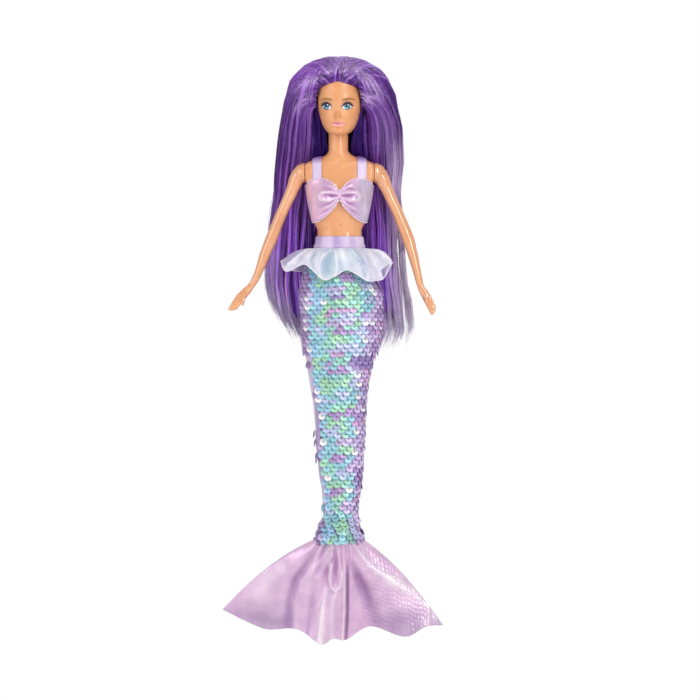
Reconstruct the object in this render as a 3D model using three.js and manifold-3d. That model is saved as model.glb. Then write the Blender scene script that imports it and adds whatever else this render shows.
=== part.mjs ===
// Mermaid fashion doll: a jointed vinyl figure in a sequinned tail sleeve, with a gathered bodice,
// an organza ruffle, a lame fin and long rooted hair.
// Millimetres. +Z is up, the doll faces -Y, and the origin is the middle of the waist, where a
// doll stand's clip would hold it. Left and right are the doll's own: its right side is at -X.
import * as THREE from 'three';
import { mergeVertices } from 'three/addons/utils/BufferGeometryUtils.js';
import Module from 'manifold-3d';

const wasm = await Module();
wasm.setup();

// Heights of the figure
const HEAD_TOP_Z = 107.3;
const EYE_Z = 80.5;
const CHIN_Z = 62.5;
const NECK_TOP_Z = 64;
const SHOULDER_Z = 39.4;
const BUST_Z = 25.5;
const WAIST_Z = 3;
const HIP_Z = -38;
const KNEE_Z = -98;
const ANKLE_Z = -171;
const TOE_Z = -184;

// Reach of the boxes that cut, beyond everything they cut
const BEYOND = HEAD_TOP_Z - TOE_Z;

// Neck and head joint
const NECK_RADIUS = 6;
const NECK_Y = 1.5;
const KNOB_STEM_RADIUS = 2.2;
const KNOB_BASE_RADIUS = 4;
const KNOB_BASE_DEPTH = 13;
const KNOB_BASE_THICKNESS = 1.6;
const KNOB_BARB_RADIUS = 4.4;
const KNOB_BARB_HEIGHT = 4.5;
const HEAD_WALL = 2;

// Shoulders
const SEAM_X = 21.6;
const SHOULDER_RADIUS = 6.2;
const SHOULDER_BULGE = 7;
const PLUG_RADIUS = 3;
const FLANGE_RADIUS = 4.2;
const FLANGE_THICKNESS = 1.3;
const CHAMBER_DEPTH = 4.5;

// Hips
const HIP_FRONT = 13;
const BARREL_RADIUS = 12;
const WEB_HALF = 3.4;
const PIN_RADIUS = BARREL_RADIUS / 6;
const PIN_HALF = 12;
const TORSO_NOTCH_DEG = 46;
const THIGH_NOTCH_DEG = 42;
const CROTCH_DROP = 18;
const LEG_GAP = 0.4;

// Walls, running gaps and cloth
const TORSO_WALL = 1.8;
const RUN_GAP = 0.3;
const SEAM_GAP = 0.3;
const CLOTH_GAP = 0.35;
const SATIN = 1;
const SLEEVE_WALL = 1.6;
const RUFFLE_WALL = 0.6;
const FIN_WALL = 0.6;

// Bust, as two soft mounds on the chest
const BUST_X = 8.6;
const BUST_RISE = 6.2;
const BUST_SPREAD_X = 6.6;
const BUST_SPREAD_Z = 7.2;

// Facets of the figure and of all that is worn on it
const FIGURE_PITCH = 4;
const FIGURE_SIDES = 30;

// Figure from the neck to the toes. Each row is a level section: half width, middle depth, reach to
// the front and back, roundness of the outline, and how loosely the sleeve sits there.
const FIGURE = [
  { z: NECK_TOP_Z, half: NECK_RADIUS, y: NECK_Y, front: NECK_RADIUS, back: NECK_RADIUS, power: 2 },
  { z: NECK_TOP_Z - 10, half: NECK_RADIUS, y: NECK_Y, front: NECK_RADIUS, back: NECK_RADIUS, power: 2 },
  { z: SHOULDER_Z + 11.6, half: 7.6, y: 1.2, front: 6.4, back: 6.6, power: 2 },
  { z: SHOULDER_Z + 9.6, half: 11.5, y: 1, front: 6.8, back: 7.2, power: 2 },
  { z: SHOULDER_Z + 7.8, half: 17, y: 0.8, front: 7.2, back: 7.6, power: 2.2 },
  { z: SHOULDER_Z + 6, half: 21, y: 0.6, front: 7.6, back: 8, power: 2.4 },
  { z: SHOULDER_Z + 2.6, half: 23.4, y: 0.4, front: 8, back: 8.4, power: 2.5 },
  { z: SHOULDER_Z - 3.4, half: 22.6, y: 0.2, front: 9, back: 9, power: 2.4 },
  { z: SHOULDER_Z - 7.2, half: 20.3, y: 0, front: 9.6, back: 9.3, power: 2.2 },
  { z: BUST_Z, half: 19.4, y: 0, front: 9.8, back: 9.2, power: 2.1 },
  { z: BUST_Z - 9.5, half: 17.6, y: 0, front: 9.6, back: 8.6, power: 2.1 },
  { z: WAIST_Z + 6, half: 16, y: 0, front: 9.3, back: 8.2, power: 2.1 },
  { z: WAIST_Z, half: 13.6, y: 0, front: 9, back: 8, power: 2 },
  { z: WAIST_Z - 6, half: 13.9, y: 0, front: 9.3, back: 8.6, power: 2 },
  { z: WAIST_Z - 11, half: 15, y: 0, front: 10, back: 10, power: 2, slack: 0.4 },
  { z: WAIST_Z - 17, half: 16.9, y: 0, front: 10.8, back: 12.2, power: 2, slack: 0.6 },
  { z: HIP_Z + 18, half: 19.2, y: 0, front: 11.6, back: 14.4, power: 2, slack: 1 },
  { z: HIP_Z + 10, half: 21.4, y: 0, front: 12.5, back: 16.2, power: 2, slack: 1.6 },
  { z: HIP_Z, half: 22.5, y: 0, front: HIP_FRONT, back: 17, power: 2, slack: 2 },
  { z: HIP_Z - 14, half: 22.2, y: 0, front: 13.2, back: 16.4, power: 2.1, slack: 2 },
  { z: HIP_Z - 28, half: 21, y: 0, front: 13, back: 13.4, power: 2.2, slack: 2 },
  { z: HIP_Z - 42, half: 18.4, y: 0, front: 12.2, back: 11.2, power: 2.2, slack: 0.9 },
  { z: KNEE_Z, half: 15.6, y: 0, front: 11, back: 9.4, power: 2.2, slack: 0.7 },
  { z: KNEE_Z - 13, half: 14.2, y: 0, front: 9.6, back: 9.8, power: 2.2, slack: 0.7 },
  { z: KNEE_Z - 30, half: 13.4, y: 0, front: 8.6, back: 11, power: 2.2, slack: 0.7 },
  { z: KNEE_Z - 48, half: 11.8, y: 0, front: 7.6, back: 9.6, power: 2.2, slack: 0.7 },
  { z: ANKLE_Z + 11, half: 9.9, y: 0, front: 6.8, back: 7.6, power: 2.2, slack: 0.9 },
  { z: ANKLE_Z, half: 8.4, y: 0, front: 6.8, back: 6.4, power: 2.2, slack: 1.4 },
  { z: ANKLE_Z - 8, half: 9.2, y: 0, front: 9.2, back: 5.4, power: 2.2, slack: 2.2 },
  { z: TOE_Z, half: 9.4, y: 0, front: 9.4, back: 4, power: 2.2, slack: 3.6 },
  { z: TOE_Z - 4, half: 9.4, y: 0, front: 8.4, back: 5, power: 2.2, slack: 4.6 },
];

// Skull and jaw, from the chin up
const HEAD = [
  { z: CHIN_Z, half: 2, y: -9.6, front: 1.8, back: 2, power: 2 },
  { z: CHIN_Z + 0.8, half: 4.8, y: -7.6, front: 4.9, back: 7, power: 2 },
  { z: CHIN_Z + 1.8, half: 7, y: -3, front: 10.4, back: 11.6, power: 2.1 },
  { z: CHIN_Z + 3.4, half: 8.4, y: -2, front: 11.9, back: 12.4, power: 2.2 },
  { z: CHIN_Z + 5, half: 9.5, y: -1, front: 13.2, back: 12.6, power: 2.2 },
  { z: CHIN_Z + 7.5, half: 10.7, y: -0.5, front: 14.1, back: 14.2, power: 2.2 },
  { z: CHIN_Z + 11.5, half: 12, y: 0, front: 14.8, back: 16, power: 2.2 },
  { z: EYE_Z, half: 13.3, y: 0.5, front: 15.3, back: 17.5, power: 2.2 },
  { z: EYE_Z + 5.5, half: 14, y: 1, front: 15.9, back: 18, power: 2.1 },
  { z: EYE_Z + 11.5, half: 14, y: 1, front: 15.8, back: 18, power: 2 },
  { z: HEAD_TOP_Z - 10.3, half: 13.1, y: 1, front: 14.2, back: 17, power: 2 },
  { z: HEAD_TOP_Z - 6.3, half: 11.2, y: 1.2, front: 11.6, back: 14.6, power: 2 },
  { z: HEAD_TOP_Z - 2.8, half: 7.8, y: 1.4, front: 7.6, back: 10.4, power: 2 },
  { z: HEAD_TOP_Z - 0.8, half: 4, y: 1.5, front: 4, back: 5.5, power: 2 },
  { z: HEAD_TOP_Z, half: 1, y: 1.5, front: 1, back: 1.5, power: 2 },
];

// Face relief: place and spread of each soft rise or hollow, mirrored where x isn't zero
const FACE = [
  { x: 0, z: EYE_Z - 5.4, wide: 1.15, tall: 2.1, rise: 2.5 },
  { x: 0, z: EYE_Z - 1, wide: 1.1, tall: 3.8, rise: 1.3 },
  { x: 1.7, z: EYE_Z - 6.2, wide: 0.9, tall: 0.9, rise: 0.7 },
  { x: 6.3, z: EYE_Z, wide: 3.6, tall: 2.5, rise: -1.1 },
  { x: 6.3, z: EYE_Z, wide: 2.4, tall: 1.6, rise: 0.55 },
  { x: 6.5, z: EYE_Z + 5, wide: 4.5, tall: 1.6, rise: 0.35 },
  { x: 8.2, z: EYE_Z - 6, wide: 3.6, tall: 3.2, rise: 0.5 },
  { x: 0, z: EYE_Z - 9.4, wide: 2.9, tall: 0.75, rise: 0.85 },
  { x: 0, z: EYE_Z - 11.7, wide: 2.5, tall: 0.85, rise: 0.95 },
  { x: 0, z: EYE_Z - 10.5, wide: 3.4, tall: 0.45, rise: -0.35 },
  { x: 0, z: EYE_Z - 13.6, wide: 2.6, tall: 0.7, rise: -0.5 },
  { x: 0, z: EYE_Z - 16, wide: 3, tall: 2, rise: 0.8 },
];
const EAR = { x: 13.5, y: 1.5, z: EYE_Z - 1, half: 1.5, deep: 2.2, tall: 3.6 };

// Hair mass on the scalp, from the shoulders up
const HAIR_CUT_Z = 51.8;
const HAIR = [
  { z: HAIR_CUT_Z, half: 38.4, y: 13, front: 9.8, back: 13.6, power: 2.4 },
  { z: EYE_Z - 20, half: 37.2, y: 12, front: 10.8, back: 15, power: 2.3 },
  { z: EYE_Z - 10, half: 36, y: 11, front: 12.4, back: 17, power: 2.1 },
  { z: EYE_Z, half: 34.2, y: 9, front: 15, back: 19.5, power: 2 },
  { z: EYE_Z + 8, half: 32.4, y: 7, front: 18.6, back: 21.5, power: 2 },
  { z: EYE_Z + 15, half: 30.2, y: 6, front: 21.8, back: 21, power: 2 },
  { z: HEAD_TOP_Z - 5.5, half: 26, y: 5, front: 21, back: 19, power: 2 },
  { z: HEAD_TOP_Z - 0.8, half: 19, y: 4.5, front: 16.5, back: 15, power: 2 },
  { z: HEAD_TOP_Z + 2.8, half: 10, y: 4, front: 8.5, back: 8.5, power: 2 },
  { z: HEAD_TOP_Z + 4.2, half: 2.5, y: 4, front: 2.5, back: 2.5, power: 2 },
];
const HAIRLINE_Z = 96;
const FACE_HALF = 13.3;
const NECK_SHADOW_HALF = 17;
const SCALP_GAP = 1.1;
const HAIR_WAVE = 0.45;
const HAIR_LOCKS = 18;
const PARTING_DEPTH = 1.3;
const PARTING_HALF = 1.4;

// Long hair behind the shoulders: level sections of the middle and of the left and right masses
const FALL_TOP_Z = 51.2;
const BACK_FALL = [
  { z: FALL_TOP_Z, x: 0, half: 14.2, y: 18.4, front: 6.6, back: 8, power: 4 },
  { z: SHOULDER_Z - 10, x: 0, half: 14.2, y: 18.2, front: 6.4, back: 7.8, power: 4 },
  { z: WAIST_Z + 4, x: 0, half: 14.2, y: 20, front: 6, back: 6.4, power: 3.6 },
  { z: WAIST_Z - 11, x: 0, half: 14.2, y: 25.2, front: 2.6, back: 2.8, power: 3 },
  { z: HIP_Z, x: 0, half: 14, y: 25.2, front: 2.6, back: 2.8, power: 3 },
  { z: HIP_Z - 22, x: 0, half: 13, y: 24.6, front: 2.6, back: 2.6, power: 2.2 },
  { z: HIP_Z - 30, x: 0, half: 11, y: 24.4, front: 1.4, back: 1.6, power: 2.2 },
];
const SIDE_FALL = [
  { z: FALL_TOP_Z, x: 26.6, half: 12, y: 17, front: 7.6, back: 8.8, power: 3 },
  { z: SHOULDER_Z - 10, x: 27.2, half: 12.6, y: 16.6, front: 7.4, back: 8.6, power: 3 },
  { z: WAIST_Z + 4, x: 27.6, half: 13, y: 17.4, front: 7, back: 8, power: 2.8 },
  { z: WAIST_Z - 14, x: 30.6, half: 12.6, y: 19.4, front: 4.6, back: 6, power: 2.2 },
  { z: HIP_Z + 6, x: 33.2, half: 11.2, y: 18.4, front: 5, back: 5.6, power: 2.2 },
  { z: HIP_Z - 12, x: 34.2, half: 8.8, y: 16.6, front: 4.6, back: 5, power: 2.2 },
  { z: HIP_Z - 26, x: 34.4, half: 5.6, y: 16, front: 2.2, back: 2.4, power: 2 },
];
const FALL_WAVE = 0.5;
const FALL_LOCKS = 8;

// Arms: how far out from the seam and down from the shoulder each row lies, how far forward, and
// the half thickness there. The last row is the knuckles.
const RIGHT_ARM = {
  rows: [
    { out: 2.4, drop: -1, y: 0, half: 3.2 },
    { out: 3.3, drop: 0.5, y: 0, half: 4.6 },
    { out: 5, drop: 3.7, y: 0, half: 4.6 },
    { out: 8.2, drop: 11.8, y: 0, half: 3.8 },
    { out: 11.6, drop: 19.2, y: 0.2, half: 3.5 },
    { out: 15, drop: 26.7, y: 0.4, half: 3.5 },
    { out: 20.9, drop: 41.6, y: 0.3, half: 3.75 },
    { out: 24, drop: 49, y: -0.2, half: 3.4 },
    { out: 29.6, drop: 63.9, y: -1.6, half: 2.4 },
    { out: 33, drop: 69.8, y: -2.2, half: 1.95 },
    { out: 37, drop: 73.8, y: -2.8, half: 2.4 },
    { out: 40.6, drop: 77.3, y: -3.4, half: 2.5 },
  ],
  tips: { out: 45.6, drop: 86, y: -5 },
  thumb: { out: 37.6, drop: 82, y: -6.2 },
};
const LEFT_ARM = {
  rows: [
    { out: 2.4, drop: -1, y: 0, half: 3.2 },
    { out: 3.2, drop: 0.5, y: 0, half: 4.6 },
    { out: 4.8, drop: 3.7, y: 0, half: 4.6 },
    { out: 8.5, drop: 11.8, y: 0, half: 3.7 },
    { out: 11.9, drop: 19.2, y: 0.2, half: 3.5 },
    { out: 15.3, drop: 26.7, y: 0.4, half: 3.5 },
    { out: 21.2, drop: 41.6, y: 0.3, half: 3.75 },
    { out: 23.4, drop: 49, y: -0.2, half: 3.2 },
    { out: 27.1, drop: 63.9, y: -1.6, half: 2.4 },
    { out: 28.9, drop: 70.9, y: -2.2, half: 1.95 },
    { out: 30.9, drop: 74.4, y: -2.8, half: 2.5 },
    { out: 32.7, drop: 77.6, y: -3.4, half: 2.6 },
  ],
  tips: { out: 37.6, drop: 87.4, y: -5 },
  thumb: { out: 33.2, drop: 82.4, y: -6.2 },
};
const HAND_FLATNESS = 0.72;
const FINGER_RADIUS = 0.72;
const FINGER_PITCH = 1.22;
const FINGER_LENGTHS = [0.86, 0.97, 1, 0.9];

// Bodice
const CUP_TOP_Z = 34.8;
const CUP_HEM_Z = 8;
const CUP_PEAK_Z = 20.5;
const BAND_TOP_Z = 30;
const BAND_HEM_Z = 11;
const BODICE_WALL = 1.1;
const KNOT_HALF = 2.4;
const KNOT_TALL = 5.4;
const STRAP_X = 14;
const STRAP_HALF = 2.45;
const STRAP_WALL = 0.8;
const CLOSURE_HALF = 3;
const CLOSURE_WALL = 0.8;

// Waistband
const BAND_HEIGHT = 8;

// Where the sleeve hangs towards the doll's left of its legs: height, how far, and over what length
const SLEEVE_LEAN = [
  { z: HIP_Z - 14, far: 2, length: 20 },
  { z: KNEE_Z + 10, far: -0.7, length: 14 },
  { z: ANKLE_Z + 16, far: 0.5, length: 20 },
];

// Ruffle: how far it laps up over the waistband, how much it bows outwards and upwards on its way
// to the hem, and the hem itself, going round the doll from the front towards its left
const RUFFLE_LAP = 1.6;
const RUFFLE_BOW_OUT = 1.6;
const RUFFLE_BOW_UP = 2.4;
const RUFFLE_HEM = [
  [-10, -20.6, -27.6],
  [4.6, -17.4, -20.5],
  [16.4, -19.6, -27.4],
  [27.3, -12, -25.7],
  [32.3, -2, -15.8],
  [26.6, 7.6, -20],
  [16, 16.6, -24],
  [4, 20, -21],
  [-8, 21, -25.4],
  [-20, 12.6, -21],
  [-29, 5.4, -21.6],
  [-36.3, -1, -14.6],
  [-32.6, -9, -21.4],
  [-21.6, -14, -17.4],
];

// Fin: its span from tip to tip and its length below the toes, the hem from the doll's right tip to
// its left tip as shares of the two, the gather at the ankles, and the bow of the two top edges
const FIN_SPAN = 136.4;
const FIN_LENGTH = 68.7;
const FIN_HEM = [
  [-0.531, 0.686],
  [-0.425, 0.795],
  [-0.335, 0.866],
  [-0.19, 0.866],
  [-0.078, 1],
  [-0.031, 0.952],
  [0.023, 0.967],
  [0.136, 0.841],
  [0.303, 0.93],
  [0.396, 0.838],
  [0.469, 0.83],
];
const FIN_BOW = 5;
const FIN_GATHER_HALF = 14.2;
const FIN_FOLDS = 7;
const FIN_FOLD_DEPTH = 2.4;
const FIN_WAVE_DEPTH = 4;
const FIN_PANEL_GAP = 0.7;

// Materials
const finish = (color, roughness, metalness = 0) =>
  new THREE.MeshStandardMaterial({ color, roughness, metalness });
const SKIN = finish(0xe5a378, 0.4);
const HAIR_FIBRE = finish(0x6d4799, 0.45);
const METALLIC_PINK = finish(0xd7aac3, 0.3, 0.5);
const SATIN_LILAC = finish(0xc1a6d4, 0.4);
const ORGANZA = finish(0xdcdbe8, 0.35);
const SEQUIN = finish(0x9fc8cc, 0.25, 0.4);
const LAME = finish(0xcfaed2, 0.3, 0.6);
const HARD_PLASTIC = finish(0xd8d2c8, 0.5);
const HOOK_LOOP = finish(0xcdb6dc, 0.9);

// One closed geometry from points and triangles, turned right side out
function closedGeometry(positions, faces) {
  let volume = 0;
  const corner = (index) => new THREE.Vector3().fromArray(positions, index * 3);
  for (let i = 0; i < faces.length; i += 3) {
    const [a, b, c] = [corner(faces[i]), corner(faces[i + 1]), corner(faces[i + 2])];
    volume += a.dot(b.cross(c));
  }
  if (volume < 0) faces.reverse();
  const geometry = new THREE.BufferGeometry();
  geometry.setAttribute('position', new THREE.Float32BufferAttribute(positions, 3));
  geometry.setIndex(faces);
  return geometry;
}

// Skin over a stack of rings with equal counts. The two ends are closed by a fan, or by a strip
// where each ring runs out along one face of a sheet and back along the other. With ends set to
// 'joined', the last ring meets the first instead.
function loft(rings, ends = 'fan') {
  const count = rings[0].length;
  const positions = rings.flat().flatMap((p) => [p.x, p.y, p.z]);
  const faces = [];
  const wall = (i, k) => {
    for (let j = 0; j < count; j += 1) {
      const next = (j + 1) % count;
      faces.push(i * count + j, i * count + next, k * count + next);
      faces.push(i * count + j, k * count + next, k * count + j);
    }
  };
  const fan = (start, forward) => {
    const apex = positions.length / 3;
    const middle = new THREE.Vector3();
    for (let j = 0; j < count; j += 1) {
      middle.addScaledVector(new THREE.Vector3().fromArray(positions, (start + j) * 3), 1 / count);
      const pair = [start + ((j + 1) % count), start + j];
      faces.push(apex, ...(forward ? pair : pair.reverse()));
    }
    positions.push(middle.x, middle.y, middle.z);
  };
  const strip = (start, forward) => {
    for (let j = 0; j < count / 2 - 1; j += 1) {
      const [a, b, c, d] = [j, j + 1, count - 2 - j, count - 1 - j].map((k) => start + k);
      faces.push(...(forward ? [a, c, b, a, d, c] : [a, b, c, a, c, d]));
    }
  };
  for (let i = 0; i < rings.length - 1; i += 1) wall(i, i + 1);
  const last = (rings.length - 1) * count;
  if (ends === 'joined') wall(rings.length - 1, 0);
  else if (ends === 'strip') [[0, true], [last, false]].forEach((end) => strip(...end));
  else [[0, true], [last, false]].forEach((end) => fan(...end));
  return closedGeometry(positions, faces);
}

// Value of one field of a table of level sections at height z, on a smooth curve that never
// overshoots its rows
function fieldAt(rows, field, z) {
  const table = rows[0].z > rows[rows.length - 1].z ? [...rows].reverse() : rows;
  const value = (i) => table[i][field] ?? 0;
  const last = table.length - 1;
  if (z <= table[0].z) return value(0);
  if (z >= table[last].z) return value(last);
  const i = table.findIndex((row, k) => k < last && z <= table[k + 1].z);
  const slope = (k) => (value(k + 1) - value(k)) / (table[k + 1].z - table[k].z);
  const tangent = (k) => {
    if (k === 0) return slope(0);
    if (k === last) return slope(last - 1);
    const [before, after] = [slope(k - 1), slope(k)];
    return before * after <= 0 ? 0 : (2 * before * after) / (before + after);
  };
  const span = table[i + 1].z - table[i].z;
  const t = (z - table[i].z) / span;
  const h = t * t * (3 - 2 * t);
  const bend = t * (1 - t) * span;
  return value(i) * (1 - h) + value(i + 1) * h
    + bend * ((1 - t) * tangent(i) - t * tangent(i + 1));
}

function sectionAt(rows, z) {
  const section = { z };
  for (const field of ['x', 'half', 'y', 'front', 'back', 'power', 'slack']) {
    section[field] = fieldAt(rows, field, z);
  }
  return section;
}

// Point on a level section's outline, grown outwards. Angle 0 is +X and a quarter turn is +Y.
function outlinePoint(section, angle, grow = 0) {
  const bend = 2 / section.power;
  const [c, s] = [Math.cos(angle), Math.sin(angle)];
  const deep = (s < 0 ? section.front : section.back) + grow;
  const x = section.x + (section.half + grow) * Math.sign(c) * Math.abs(c) ** bend;
  const y = section.y + deep * Math.sign(s) * Math.abs(s) ** bend;
  return new THREE.Vector3(x, y, section.z);
}

// Closed body through level sections at the given heights, with an optional shift of each point
function stack(rows, heights, angles, { grow = 0, shift = null } = {}) {
  const rings = heights.map((z) => {
    const section = sectionAt(rows, z);
    return angles.map((angle) => {
      const point = outlinePoint(section, angle, grow);
      return shift ? shift(point, angle, section) : point;
    });
  });
  return loft(rings);
}

function roundAngles(count) {
  return Array.from({ length: count }, (_, j) => (2 * Math.PI * j) / count);
}

function steps(from, to, count) {
  return Array.from({ length: count + 1 }, (_, i) => from + ((to - from) * i) / count);
}

function toSolid(geometry) {
  const bare = geometry.clone();
  bare.deleteAttribute('normal');
  bare.deleteAttribute('uv');
  const merged = mergeVertices(bare, 1e-4);
  return new wasm.Manifold(new wasm.Mesh({
    numProp: 3,
    vertProperties: new Float32Array(merged.attributes.position.array),
    triVerts: new Uint32Array(merged.index.array),
  }));
}

function toGeometry(solid) {
  const mesh = solid.getMesh();
  const geometry = new THREE.BufferGeometry();
  geometry.setAttribute('position', new THREE.Float32BufferAttribute(mesh.vertProperties, 3));
  geometry.setIndex(new THREE.Uint32BufferAttribute(mesh.triVerts, 1));
  return geometry;
}

function box(low, high) {
  const geometry = new THREE.BoxGeometry(high[0] - low[0], high[1] - low[1], high[2] - low[2]);
  geometry.translate((low[0] + high[0]) / 2, (low[1] + high[1]) / 2, (low[2] + high[2]) / 2);
  return toSolid(geometry);
}

// Round bar along X between two places, about the line at y, z
function barAlongX(radius, from, to, y, z, segments = 16) {
  const geometry = new THREE.CylinderGeometry(radius, radius, to - from, segments);
  geometry.rotateZ(Math.PI / 2);
  geometry.translate((from + to) / 2, y, z);
  return toSolid(geometry);
}

function barAlongZ(radius, from, to, y, segments = 16) {
  const geometry = new THREE.CylinderGeometry(radius, radius, to - from, segments);
  geometry.rotateX(Math.PI / 2);
  geometry.translate(0, y, (from + to) / 2);
  return toSolid(geometry);
}

// Outline drawn in the X-Z plane and carried along Y
function plateAlongY(shape, from, to, curveSegments = 8) {
  const geometry = new THREE.ExtrudeGeometry(shape, { depth: to - from, bevelEnabled: false, curveSegments });
  geometry.rotateX(Math.PI / 2);
  geometry.translate(0, to, 0);
  return toSolid(geometry);
}

// Outline drawn in the Y-Z plane and carried along X
function plateAlongX(points, from, to) {
  const shape = new THREE.Shape(points.map(([y, z]) => new THREE.Vector2(y, z)));
  const geometry = new THREE.ExtrudeGeometry(shape, { depth: to - from, bevelEnabled: false });
  geometry.rotateX(Math.PI / 2);
  geometry.rotateZ(Math.PI / 2);
  geometry.translate(from, 0, 0);
  return toSolid(geometry);
}

// Round-sectioned limb along points with their own half thickness, smaller in depth by flatness
function limb(rows, segments, perRow, flatness = 1) {
  const path = new THREE.CatmullRomCurve3(rows.map((row) => new THREE.Vector3(row.x, row.y, row.z)));
  const count = (rows.length - 1) * perRow;
  const rings = [];
  for (let i = 0; i <= count; i += 1) {
    const u = i / count;
    const place = u * (rows.length - 1);
    const k = Math.min(Math.floor(place), rows.length - 2);
    const t = place - k;
    const ease = t * t * (3 - 2 * t);
    const half = rows[k].half + (rows[k + 1].half - rows[k].half) * ease;
    const flat = (rows[k].flat ?? flatness) * (1 - ease) + (rows[k + 1].flat ?? flatness) * ease;
    const along = path.getTangent(u);
    const depth = new THREE.Vector3(0, 1, 0).addScaledVector(along, -along.y).normalize();
    const side = new THREE.Vector3().crossVectors(along, depth);
    const middle = path.getPoint(u);
    rings.push(Array.from({ length: segments }, (_, j) => {
      const angle = (2 * Math.PI * j) / segments;
      return middle.clone()
        .addScaledVector(side, half * Math.cos(angle))
        .addScaledVector(depth, half * flat * Math.sin(angle));
    }));
  }
  return loft(rings);
}

// Chest surface: the two mounds of the bust push the front of each section forwards
function bustRise(x, z) {
  const mound = (side) => {
    const [dx, dz] = [(x - side * BUST_X) / BUST_SPREAD_X, (z - BUST_Z) / BUST_SPREAD_Z];
    return Math.exp(-dx * dx - dz * dz);
  };
  return BUST_RISE * (mound(1) + mound(-1));
}

function chestShift(point) {
  const frontness = Math.min(1, Math.max(0, -point.y / 5));
  point.y -= bustRise(point.x, point.z) * frontness;
  return point;
}

// Heights on one ladder for the body and all that is worn on it, so that their facets agree
function figureHeights(bottom, top) {
  const heights = [bottom];
  const first = Math.ceil((bottom + 0.5 - BUST_Z) / FIGURE_PITCH);
  for (let z = BUST_Z + first * FIGURE_PITCH; z < top - 0.5; z += FIGURE_PITCH) heights.push(z);
  return [...heights, top];
}

function figureSolid(bottom, top, grow) {
  const heights = figureHeights(bottom, top);
  return toSolid(stack(FIGURE, heights, roundAngles(FIGURE_SIDES), { grow, shift: chestShift }));
}

const HIP_Y = BARREL_RADIUS - HIP_FRONT;

// Wedge in the Y-Z plane from the hip axis, between two directions measured from the front, up
// being positive
function frontWedge(fromDeg, toDeg, from, to) {
  const reach = 60;
  const ray = (deg) => {
    const angle = THREE.MathUtils.degToRad(deg);
    return [HIP_Y - reach * Math.cos(angle), HIP_Z + reach * Math.sin(angle)];
  };
  return plateAlongX([[HIP_Y, HIP_Z], ray(fromDeg), ray((fromDeg + toDeg) / 2), ray(toDeg)], from, to);
}

// Torso: one hollow body with the neck, the shoulder sockets, the pelvis and its middle web,
// split into a front and a back half
function torsoSolid() {
  const wide = SEAM_X + 20;
  const outer = figureSolid(HIP_Z + RUN_GAP / 2, NECK_TOP_Z, 0)
    .intersect(box([-SEAM_X, -wide, HIP_Z - 40], [SEAM_X, wide, NECK_TOP_Z + 1])
      .add(box([-wide, -wide, HIP_Z - 40], [wide, wide, SHOULDER_Z - SHOULDER_RADIUS - 2])));
  const barrels = barAlongX(BARREL_RADIUS + RUN_GAP, -wide, wide, HIP_Y, HIP_Z, 28);
  const notch = frontWedge(-90, TORSO_NOTCH_DEG, -wide, wide);
  const barrelTop = HIP_Z + BARREL_RADIUS;
  const web = figureSolid(HIP_Z - BARREL_RADIUS - 2, barrelTop + 2, 0)
    .intersect(barAlongX(BARREL_RADIUS, -WEB_HALF, WEB_HALF, HIP_Y, HIP_Z, 28))
    .add(box([-WEB_HALF, HIP_Y - 4, barrelTop - 3], [WEB_HALF, HIP_Y + 4, barrelTop + 3]));
  const hollow = toSolid(stack(FIGURE, steps(HIP_Z + BARREL_RADIUS + 4, SHOULDER_Z + 6, 9), roundAngles(16),
    { grow: -TORSO_WALL, shift: chestShift }))
    .intersect(box([-SEAM_X + TORSO_WALL, -wide, -BEYOND], [SEAM_X - TORSO_WALL, wide, BEYOND]));
  let body = outer.subtract(barrels).subtract(notch).add(web).subtract(hollow);
  for (const side of [-1, 1]) {
    const inner = SEAM_X - TORSO_WALL - CHAMBER_DEPTH;
    const chamber = [side * inner, side * (SEAM_X - TORSO_WALL)].sort((a, b) => a - b);
    const mouth = [side * inner, side * wide].sort((a, b) => a - b);
    body = body.subtract(barAlongX(FLANGE_RADIUS + RUN_GAP, ...chamber, 0, SHOULDER_Z))
      .subtract(barAlongX(PLUG_RADIUS + RUN_GAP, ...mouth, 0, SHOULDER_Z));
  }
  const baseZ = NECK_TOP_Z - KNOB_BASE_DEPTH;
  const baseTop = baseZ + KNOB_BASE_THICKNESS;
  const knobSeat = barAlongZ(KNOB_BASE_RADIUS + RUN_GAP, baseZ - RUN_GAP, baseTop + RUN_GAP, NECK_Y);
  const knobHole = barAlongZ(KNOB_STEM_RADIUS + RUN_GAP, baseZ, NECK_TOP_Z + 1, NECK_Y);
  const pinHole = barAlongX(PIN_RADIUS + RUN_GAP, -WEB_HALF - 1, WEB_HALF + 1, HIP_Y, HIP_Z);
  return body.subtract(knobSeat).subtract(knobHole).subtract(pinHole);
}

// The knob's base is trapped between the torso halves and its barb holds the head
function neckKnob() {
  const baseZ = NECK_TOP_Z - KNOB_BASE_DEPTH;
  const baseTop = baseZ + KNOB_BASE_THICKNESS;
  const barbZ = headFloorZ() + RUN_GAP;
  const profile = [
    [0, baseZ],
    [KNOB_BASE_RADIUS, baseZ],
    [KNOB_BASE_RADIUS, baseTop],
    [KNOB_STEM_RADIUS, baseTop],
    [KNOB_STEM_RADIUS, barbZ],
    [KNOB_BARB_RADIUS, barbZ],
    [KNOB_BARB_RADIUS * 0.8, barbZ + KNOB_BARB_HEIGHT * 0.5],
    [KNOB_BARB_RADIUS * 0.4, barbZ + KNOB_BARB_HEIGHT],
    [0, barbZ + KNOB_BARB_HEIGHT],
  ].map(([r, z]) => new THREE.Vector2(r, z));
  const geometry = new THREE.LatheGeometry(profile, 16);
  geometry.rotateX(Math.PI / 2);
  geometry.translate(0, NECK_Y, 0);
  return toGeometry(toSolid(geometry));
}

function headFloorZ() {
  return NECK_TOP_Z + RUN_GAP + HEAD_WALL;
}

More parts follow.
